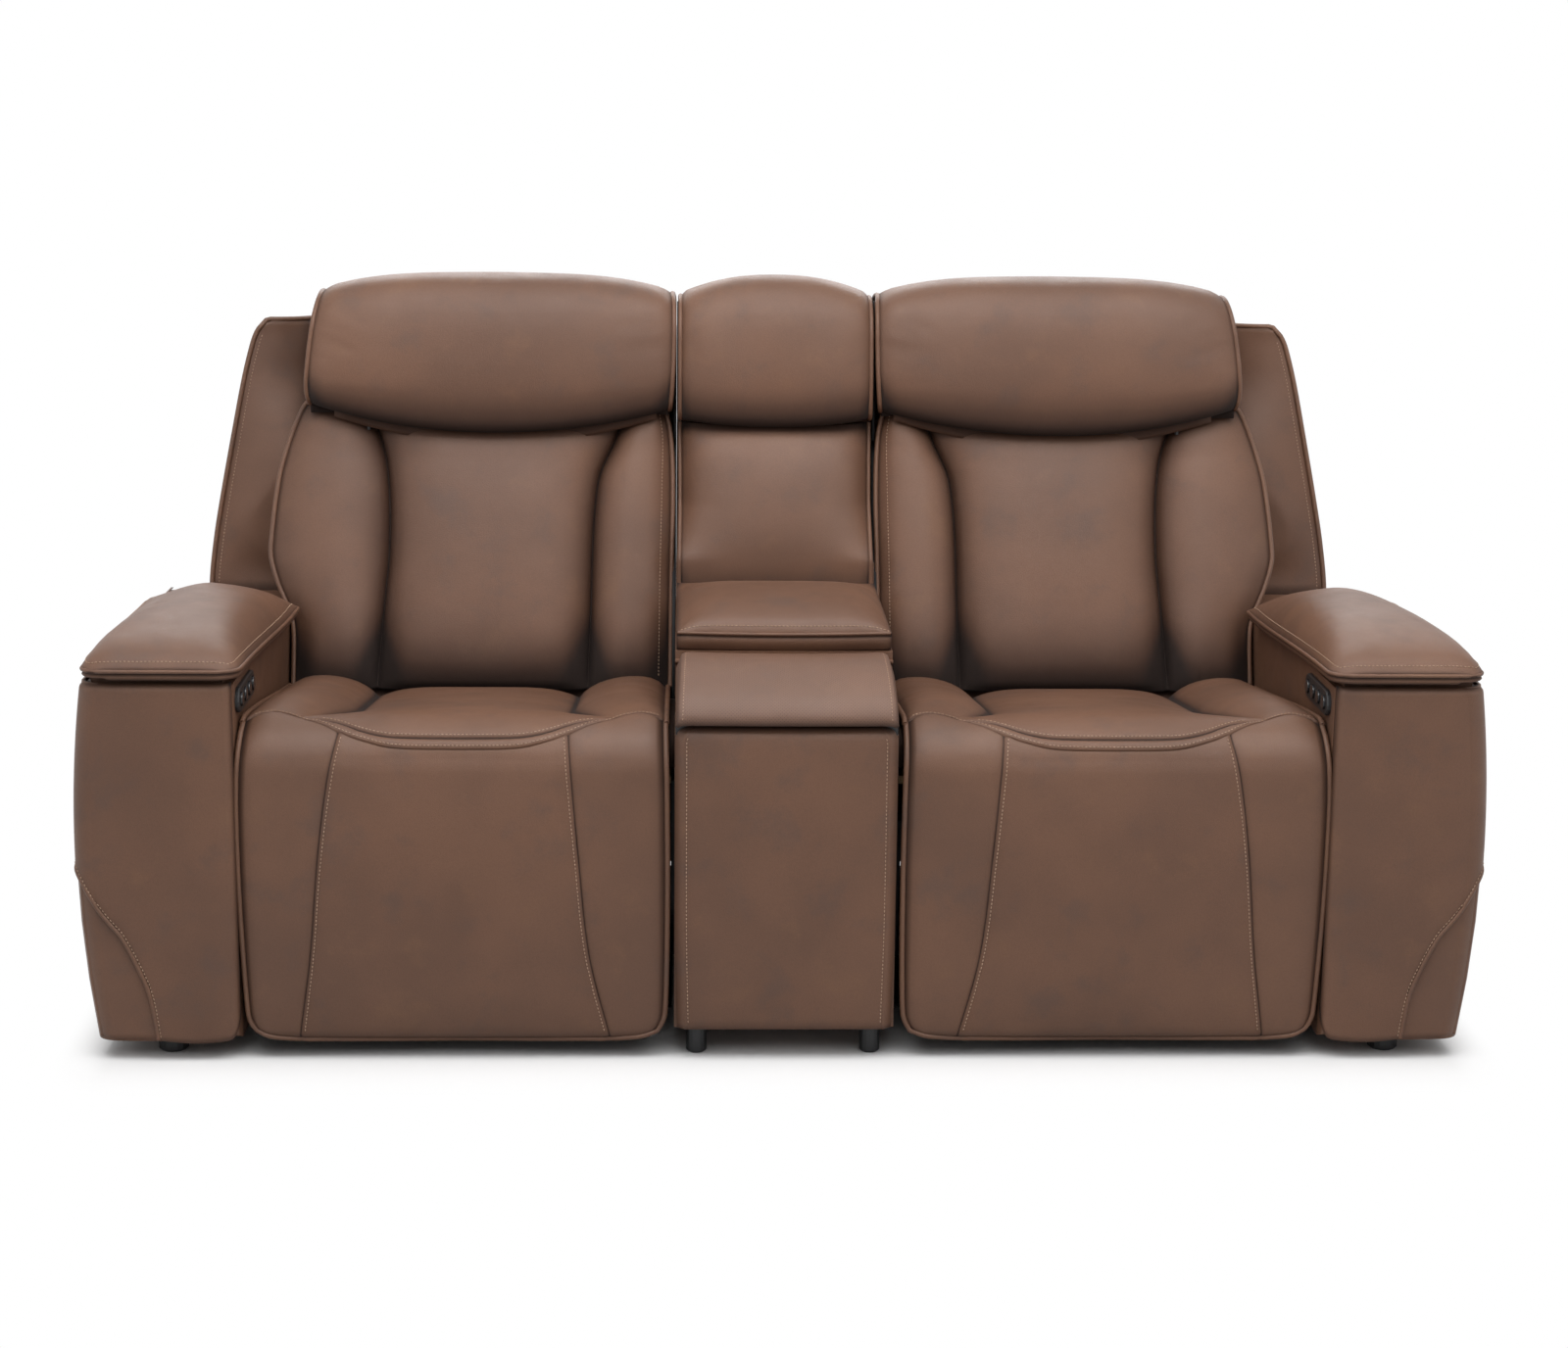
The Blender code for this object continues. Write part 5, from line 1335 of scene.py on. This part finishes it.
def lid_face(s, t):
    """A point on the arm lid's crowned top."""
    x, y = lid_plan(s, t)
    run = (t + 1) / 2
    crown = trace(run, (0, 0.002), (0.02, 0.016), (0.05, 0.027), (0.11, 0.0375), (0.22, 0.0480),
                  (0.40, 0.0555), (0.58, 0.0545), (0.72, 0.0490), (0.86, 0.0360), (0.95, 0.0205),
                  (0.985, 0.009), (1, 0.002))
    steep = trace(run, (0.08, 6.0), (0.30, 3.2), (0.60, 1.8), (1.0, 1.6)) if s > 0 else 6.0
    across = 1 - (0.92 * abs(s) ** steep + 0.08 * abs(s) ** 24)
    return Vector((x, y, LID_EDGE - lid_drop(s, t) + crown * across))


def arm_lid_pad():
    """The arm's padded lid: its crowned top, the border below its welt and its flat underside."""

    def place(s, t, d):
        x, y = lid_plan(s, t)
        if d == 0:
            return lid_face(s, t)
        inset = trace(d, (0, 0), (0.15, -0.001), (0.3, 0.0022), (0.6, 0.0006), (0.75, 0.002),
                      (0.85, 0.006), (1, 0.012))
        x += -inset if s > 0 else inset
        y += inset * (1 if y < -0.2 else -1)
        low = 0.5680 if s < 0.9 else 0.5705
        z = trace(d, (0, LID_EDGE), (0.15, 0.5800), (0.3, 0.5775), (0.6, 0.5735), (0.75, low + 0.001),
                  (0.85, low), (1, 0.5757))
        z -= lid_drop(s, t) if d < 0.9 else 0.0
        if abs(s) < 1 and abs(t) < 1:
            z = 0.5757
        return Vector((x, y, z))

    # Painted shade towards the lid's edges.
    def crease(s, t):
        edge = 0.25 * max(ease(abs(s), 0.88, 1.0), ease(abs(t), 0.95, 1.0))
        return edge + 0.4 * max(ease(abs(s), 0.98, 0.999), ease(abs(t), 0.993, 1.0))

    columns = sorted(set(stations(34) + [-0.99, -0.975, 0.975, 0.99]))
    rows = [-1.0, -0.997, -0.99, -0.98, -0.965, -0.945, -0.92] + spaced(-0.89, 1.80, 50)
    rows += [0.93, 0.95, 0.97, 0.985, 0.995, 1.0]
    bm = form(columns, rows, [0, 0.15, 0.3, 0.6, 0.75, 0.85, 1], place, crease)
    shade = bm.verts.layers.float["crease"]
    depth = bm.verts.layers.float["depth"]
    # Painted shade: the border under the welt is painted dark (0.85), the band below it lightly (0.2) and the
    # underside 0.6.
    for v in bm.verts:
        if abs(v[depth] - 0.3) < 0.01:
            v[shade] = 0.85
        elif abs(v[depth] - 0.6) < 0.01:
            v[shade] = 0.2
        elif v[depth] > 0.7:
            v[shade] = 0.6
    return bm


def lid_paths():
    """The paths of the welt round the arm lid's sides and front and of the stitches inside it."""
    edge = []
    inside = []
    for s, t in open_rim(30):
        x, y = lid_plan(s, t)
        inset = {1: -0.0014, -1: -0.0008}.get(s, 0.0)
        edge.append(Vector((x + inset, y - 0.0006, 0.5815 - lid_drop(s, t))))
        near_x, near_y = lid_plan(s * 0.955, min(max(t, -0.962), 0.93) if abs(s) == 1 else -0.972)
        inside.append(Vector((near_x, near_y, 0.594 - lid_drop(s, t))))
    return edge, inside


arm_lid = arm_lid_pad()
puff(arm_lid, 0.006)
both_sides(arm_lid, "{}_arm_lid_pad", LEATHER, "{}_arm_lid", ["{}_arm_lid"])
lid_rim, inside_rim = lid_paths()
both_sides(cords([lid_rim], 0.0029), "{}_arm_lid_welt", LEATHER, "{}_arm_lid")
both_sides(seams(surface_of(arm_lid), [inside_rim]), "{}_arm_lid_stitches", THREAD, "{}_arm_lid")


# Console
CONSOLE_FOOT = 0.0455
CONSOLE_TOP = 0.4990
CONSOLE_FRONT_SEAM = 0.905


def console_front_face(s, t):
    """A point on the face of the console's front panel."""
    z = CONSOLE_FOOT + (CONSOLE_TOP - CONSOLE_FOOT) * (t + 1) / 2
    half = trace(z, (0.045, 0.1565), (0.2, 0.1600), (0.45, 0.1605)) - rounding(CONSOLE_TOP - z, 0.022)
    crown = 0.007 * (1 - abs(s) ** 4) * (1 - t**6)
    roll = 0.010 * curl(abs(s), 0.90) + 0.011 * curl(t, 0.94) + 0.006 * curl(-t, 0.97)
    groove = 0.0012 * notch(abs(s) - CONSOLE_FRONT_SEAM, 0.012)
    return Vector((s * half, -0.5085 - crown + roll + groove, z))


def console_front_pad():
    """The padded panel on the console's front."""

    def place(s, t, d):
        face = console_front_face(s, t)
        return face.lerp(Vector((face.x, -0.4908, face.z)), d)

    # Painted shade at the panel's sides, top and foot.
    def crease(s, t):
        return 0.4 * ease(abs(s), 0.93, 1.0) + 0.6 * ease(t, 0.95, 1.0) + 0.3 * ease(-t, 0.95, 1.0)

    columns = stations(30, -CONSOLE_FRONT_SEAM, CONSOLE_FRONT_SEAM, width=0.03)
    rows = sorted(set(stations(50) + [0.97, 0.985, 0.995, -0.99]))
    return form(columns, rows, [0, 0.4, 1], place, crease)


front_pad = console_front_pad()
dress(front_pad, "console_front_pad", LEATHER, "root", ["console_front_panel"])
front_seams = [[console_front_face(s, t) for t in spaced(-0.95, 1.90, 80)] for s in (-0.895, 0.895)]
dress(seams(surface_of(front_pad), front_seams, 0.0002), "console_front_stitches", THREAD, "root")


LID_SEAM = -0.88


def console_lid_face(s, t):
    """The lid's top from its front foot over to its rolled rear, crowned and bowed forward."""
    y = trace(t, (-1, -0.3370), (-0.94, -0.3425), (-0.88, -0.3435), (-0.82, -0.3430), (-0.74, -0.331),
              (-0.6, -0.288), (-0.45, -0.240), (-0.3, -0.190), (-0.1, -0.120), (0.1, -0.060), (0.35, 0.0),
              (0.55, 0.045), (0.75, 0.078), (0.9, 0.0930), (1, 0.0940))
    z = trace(t, (-1, 0.5795), (-0.94, 0.590), (-0.88, 0.602), (-0.82, 0.613), (-0.74, 0.6275),
              (-0.6, 0.6385), (-0.45, 0.6425), (-0.3, 0.6440), (-0.1, 0.6405), (0.1, 0.6310), (0.35, 0.6195),
              (0.55, 0.6105), (0.75, 0.6025), (0.9, 0.5935), (1, 0.5840))
    fall = max(0.0, z - 0.6060) * abs(s) ** 8
    bow = 0.003 * (1 - s * s) * ease(-t, 0.2, 0.8)
    groove = 0.0015 * notch(t - LID_SEAM, 0.014)
    sag = 0.0022 * (1 - s * s) * ease(-t, 0.7, 0.85)
    return Vector((s * 0.1590, y + groove - bow, z - fall - sag))


def console_lid_pad():
    """The console's padded lid, with the sewn border at its front."""

    def place(s, t, d):
        face = console_lid_face(s, t)
        rear_y = -0.336 + (0.066 + 0.336) * (t + 1) / 2
        rear = Vector((s * 0.156, rear_y, 0.5790))
        mid = face.lerp(rear, d)
        if abs(s) == 1:
            mid.x += s * 0.0012 * sin(pi * d)
        return mid

    # Painted shade at the border seam, the sides, the front foot and over the rear half under the back
    # cushion.
    def crease(s, t):
        edge = 0.25 * ease(abs(s), 0.90, 1.0) + 0.5 * ease(abs(s), 0.975, 0.998)
        edge += 0.5 * ease(-t, 0.97, 1.0) + 0.75 * ease(t, 0.3, 0.9)
        return 0.75 * notch(t - LID_SEAM, 0.008) + edge

    columns = sorted(set(stations(40) + [-0.985, 0.985]))
    rows = sorted(set(stations(60, LID_SEAM, width=0.03) + [-0.985]))
    return form(columns, rows, [0, 0.3, 0.65, 1], place, crease)


console_lid = console_lid_pad()
puff(console_lid, 0.006)
dress(console_lid, "console_lid_pad", LEATHER, "console_lid", ["console_lid"])
lid_welt = [console_lid_face(s, -0.857) + Vector((0, -0.0002, 0)) for s in spaced(-0.99, 1.98, 50)]
dress(cords([lid_welt], 0.0028), "console_lid_welt", LEATHER, "console_lid")
lid_seam = [console_lid_face(s, -0.795) for s in spaced(-0.97, 1.94, 60)]
dress(seams(surface_of(console_lid), [lid_seam]), "console_lid_stitches", THREAD, "console_lid")


def hood_face(s, t):
    """The hood over the cup holders, from its rear top edge down over its rolled front edge."""
    y = trace(t, (-1, -0.3590), (-0.9, -0.364), (-0.5, -0.405), (0, -0.456), (0.45, -0.494), (0.72, -0.513),
              (0.86, -0.5205), (0.94, -0.5195), (1, -0.5130))
    z = trace(t, (-1, 0.5780), (-0.9, 0.5815), (-0.5, 0.5785), (0, 0.5660), (0.45, 0.5465), (0.72, 0.5290),
              (0.86, 0.5165), (0.94, 0.5080), (1, 0.5035))
    half = 0.1515 + 0.0055 * (t + 1) / 2
    fall = 0.004 * curl(abs(s), 0.92) + 0.003 * (1 - s * s) * ease(-t, 0.4, 1.0)
    return Vector((s * half, y + 0.003 * s * s * ease(t, 0.0, 0.8), z - fall))


def hood():
    """The perforated hood, with its two cheeks beside the cup holders."""

    def place(s, t, d):
        face = hood_face(s, t)
        if d == 0:
            return face
        if abs(s) == 1:
            side = Vector((s * 0.1597, face.y + 0.003, max(0.5040, face.z - 0.022)))
            low = Vector((s * 0.1590, face.y + 0.005, max(0.5040, face.z - 0.070)))
            return face.lerp(side, d * 2) if d < 0.5 else side.lerp(low, d * 2 - 1)
        inner = Vector((s * 0.152, face.y + 0.012 * ease(t, -0.6, 0.9), face.z - 0.012))
        if t > 0.9:
            inner = Vector((s * 0.152, -0.505, 0.5042))
        return face.lerp(inner, d)

    # Painted shade at the hood's sides, its rear edge and its rolled front edge.
    def crease(s, t):
        edge = 0.55 * ease(abs(s), 0.97, 1.0) + 0.35 * ease(-t, 0.95, 1.0)
        return edge + 0.25 * ease(t, 0.55, 0.9) + 0.5 * ease(t, 0.9, 1.0)

    columns = sorted(set(stations(40) + [-0.985, -0.965, 0.965, 0.985]))
    rows = sorted(set(stations(44) + [-0.985, 0.985]))
    bm = form(columns, rows, [0, 0.25, 0.5, 1], place, crease)
    run = bm.verts.layers.float.new("run")
    along = bm.verts.layers.float["along"]
    for v in bm.verts:
        v[run] = 0.1015 * (v[along] + 1)
    return bm


hood_mesh = hood()
dress(hood_mesh, "console_hood", PERFORATED, "console_flap", ["console_flap"])
hood_seams = [[hood_face(s, t) for t in spaced(-0.93, 1.80, 50)] for s in (-0.955, 0.955)]
dress(seams(surface_of(hood_mesh), hood_seams), "console_hood_stitches", THREAD, "console_flap")


# Dark fillers in the gaps between the modules, painted shade standing in for the gaps' shadow; covers
# underneath and behind
def slab(outline, low, high):
    """A flat filler between two X places, from its outline in Y and Z."""
    bm = bmesh.new()
    plate(bm, outline, low, high)
    bmesh.ops.recalc_face_normals(bm, faces=bm.faces[:])
    # Painted shade: every filler is marked 0.8 in the crease attribute, so the leather ones are painted dark.
    shade = bm.verts.layers.float.new("crease")
    for v in bm.verts:
        v[shade] = 0.8
    return bm


def merged(*parts):
    """One mesh of several."""
    whole = bmesh.new()
    for bm in parts:
        mesh = bpy.data.meshes.new("part")
        bm.to_mesh(mesh)
        whole.from_mesh(mesh)
        bpy.data.meshes.remove(mesh)
    return whole


# Painted shade: black cloth fillers and dark-painted leather strips close the gaps between the modules, where
# there is only shadow.
upper = [(0.060, 0.400), (0.360, 0.340), (0.430, 0.600), (0.485, 0.950), (0.455, 0.985), (0.372, 0.985)]
upper += [(0.340, 0.850), (0.215, 0.800), (0.160, 0.650), (0.100, 0.560), (0.060, 0.540)]
neck = [(0.215, 0.820), (0.320, 0.800), (0.380, 0.860), (0.380, 0.985), (0.300, 0.995), (0.215, 0.910)]
module_gap_shade = merged(slab(upper, console_side + 0.0008, 0.1672), slab(neck, console_side + 0.0008, 0.1655))
both_sides(module_gap_shade, "{}_module_joint", CAMBRIC, "{}_back")
crown = [(0.205, 1.000), (0.305, 1.000), (0.298, 1.036), (0.255, 1.046), (0.212, 1.043)]
headrest_gap_shade = slab(crown, console_side + 0.0008, 0.1680)
both_sides(headrest_gap_shade, "{}_headrest_joint", CAMBRIC, "{}_headrest")
beside = [(0.235, 0.860), (0.312, 0.870), (0.312, 1.026), (0.290, 1.036), (0.255, 1.043), (0.235, 1.040)]
pillow_gap_shade = slab(beside, 0.1545, console_side - 0.0001)
both_sides(pillow_gap_shade, "{}_pillow_joint", CAMBRIC, "root")
side_strip = [(-0.445, 0.425), (0.050, 0.365), (0.050, 0.418), (-0.420, 0.478), (-0.445, 0.470)]
seat_gap_shade = merged(slab(side_strip, console_side + 0.0004, 0.1722), slab(side_strip, 0.7785, 0.7895))
both_sides(seat_gap_shade, "{}_seat_side_joint", LEATHER, "root")


def skirt(points, low, high, depth):
    """A hanging sheet of leather along X that follows points (y, z), with a slight ripple."""

    def place(s, t, d):
        k = (t + 1) / 2 * (len(points) - 1)
        i = min(int(k), len(points) - 2)
        y = points[i][0] + (points[i + 1][0] - points[i][0]) * (k - i)
        z = points[i][1] + (points[i + 1][1] - points[i][1]) * (k - i)
        ripple = 0.002 * sin(9 * s) * sin(pi * (t + 1) / 2)
        return Vector((low + (high - low) * (s + 1) / 2, y + ripple + depth * d, z))

    # Painted shade: the whole skirt is marked 0.5 in the crease attribute, so it is painted darker.
    return form(stations(24), stations(12), [0, 1], place, lambda s, t: 0.5)


rear_skirt = skirt([(0.402, 0.215), (0.404, 0.270), (0.408, 0.320), (0.412, 0.370)], 0.170, 0.7875, 0.003)
both_sides(rear_skirt, "{}_rear_skirt", LEATHER, ("root", "{}_back", (0, 0.402, 0.235), (0, 0.410, 0.345)))
seat_skirt = skirt([(0.035, 0.372), (0.060, 0.385), (0.085, 0.400), (0.105, 0.440)], 0.180, 0.772, 0.003)
both_sides(seat_skirt, "{}_seat_skirt", LEATHER, ("root", "{}_back", (0, 0.045, 0.378), (0, 0.100, 0.425)))


def dust_cover():
    """The black cloth stapled under the base."""
    bm = bmesh.new()
    bmesh.ops.create_grid(bm, x_segments=24, y_segments=24, size=0.5)
    for v in bm.verts:
        sag = 0.004 * (1 - (2 * v.co.x) ** 4) * (1 - (2 * v.co.y) ** 4)
        v.co = Vector((0.476 + v.co.x * 0.622, -0.010 + v.co.y * 0.770, 0.0440 - sag))
    bmesh.ops.solidify(bm, geom=bm.faces[:], thickness=0.0015)
    bmesh.ops.recalc_face_normals(bm, faces=bm.faces[:])
    return bm


both_sides(dust_cover(), "{}_dust_cover", CAMBRIC, "root")


# Materials of the solids
def look_of(name):
    """The look of a solid, by the word in its name that says what it is."""
    if "button" in name:
        return BUTTON
    if "cup_holder" in name:
        return CUP
    if "tray" in name or "control" in name or name.endswith("_foot"):
        return BLACK
    if "deck" in name or "board" in name:
        return PLY
    if any(word in name for word in ("plate", "crank", "link", "actuator", "carriage", "headrest_frame")):
        return STEEL
    return LEATHER


for name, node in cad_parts.items():
    for slot in node.material_slots:
        slot.material = look_of(name)


# Room, lights and camera
def backdrop():
    """Pale floor that keeps the shadow near the object, is painted a little darker close round and under it
    as painted shadow, and is white further off.
    """
    bm = bmesh.new()
    bmesh.ops.create_grid(bm, x_segments=8, y_segments=8, size=12.0)
    mesh = bpy.data.meshes.new("floor")
    bm.to_mesh(mesh)
    r = new_look("pale_floor")
    tone = r.mix(r.noise(3.0, 2.0), (0.84, 0.84, 0.84), (0.88, 0.88, 0.88))
    beyond = r.vector("SUBTRACT", r.vector("ABSOLUTE", r.place()), (0.97, 0.49, 0.0))
    beyond = r.vector("MULTIPLY", r.vector("MAXIMUM", beyond, (0.0, 0.0, 0.0)), (1.8, 1.0, 1.0))
    distance = r.vector("LENGTH", beyond, out="Value")
    # Painted shadow: the floor's tone falls to 0.78 within 0.10 m of the object's footprint.
    tone = r.mix(r.spread(distance, 0.0, 0.10), (0.78, 0.78, 0.78), tone)
    seen = r.node("ShaderNodeLightPath", out="Is Camera Ray")
    r.surface(base_color=r.mix(seen, (0.42, 0.42, 0.42), tone), roughness=0.8)
    far = r.spread(distance, 0.0, 0.17) * r.direct_rays()
    lit = Signal(r, r.tree.nodes["Principled BSDF"].outputs[0])
    white = r.node("ShaderNodeEmission", None, {"Strength": 1.0})
    blend = r.node("ShaderNodeMixShader", None, {0: far, 1: lit, 2: white})
    r.feed(r.tree.nodes["Material Output"].inputs["Surface"], blend)
    mesh.materials.append(r.owner)
    floor = bpy.data.objects.new("floor", mesh)
    scene.collection.objects.link(floor)


def lamp(name, place, target, size, power):
    """A soft white lamp at a place, turned towards its target."""
    light = bpy.data.lights.new(name, "AREA")
    light.shape = "RECTANGLE"
    light.size, light.size_y = size
    light.energy = power
    holder = bpy.data.objects.new(name, light)
    holder.location = place
    holder.rotation_euler = (Vector(target) - Vector(place)).to_track_quat("-Z", "Y").to_euler()
    scene.collection.objects.link(holder)


def studio():
    """A world that is white to the camera and in reflections, and dim as light on the object."""
    world = bpy.data.worlds.new("studio")
    scene.world = world
    r = Recipe(world)
    r.tree.nodes.clear()
    dim = r.node("ShaderNodeBackground", None, {"Color": (1, 1, 1), "Strength": 0.22})
    white = r.node("ShaderNodeBackground", None, {"Color": (1, 1, 1), "Strength": 1.0})
    choose = r.node("ShaderNodeMixShader", None, {0: r.direct_rays(), 1: dim, 2: white})
    end = r.tree.nodes.new("ShaderNodeOutputWorld")
    r.feed(end.inputs["Surface"], choose)


backdrop()
lamp("overhead", (0, -1.3, 3.0), (0, -0.2, 0.5), (3.6, 1.8), 92)
lamp("front", (0.3, -4.0, 3.5), (0, 0, 0.4), (4.5, 2.2), 50)
lamp("rear", (0, 2.8, 2.5), (0, 0, 0.8), (3.6, 1.2), 52)
lamp("left_fill", (-4.2, -1.8, 1.8), (0, 0, 0.5), (2.0, 2.0), 26)
lamp("right_fill", (4.2, -1.8, 1.8), (0, 0, 0.5), (2.0, 2.0), 26)
studio()

# The camera, as it was fitted to mirrored points on the object in the photograph
SENSOR = 36.0
FOCAL_PIXELS = 2927.9
PHOTO_WIDTH = 1600
YAW = radians(2.07)
PITCH = radians(12.1)
ROLL = radians(0.62)
CAMERA_PLACE = (-0.15, -4.498, 1.435)

camera_data = bpy.data.cameras.new("camera")
camera_data.sensor_width = SENSOR
camera_data.lens = SENSOR * FOCAL_PIXELS / PHOTO_WIDTH
camera = bpy.data.objects.new("camera", camera_data)
forward = Vector((sin(YAW) * cos(PITCH), cos(YAW) * cos(PITCH), -sin(PITCH)))
right = forward.cross(Vector((0, 0, 1))).normalized()
up = right.cross(forward)
tilted_right = right * cos(ROLL) + up * sin(ROLL)
tilted_up = up * cos(ROLL) - right * sin(ROLL)
facing = Matrix((tilted_right, tilted_up, -forward)).transposed().to_4x4()
camera.matrix_world = Matrix.Translation(CAMERA_PLACE) @ facing
scene.collection.objects.link(camera)
scene.camera = camera
scene.view_settings.view_transform = "Standard"
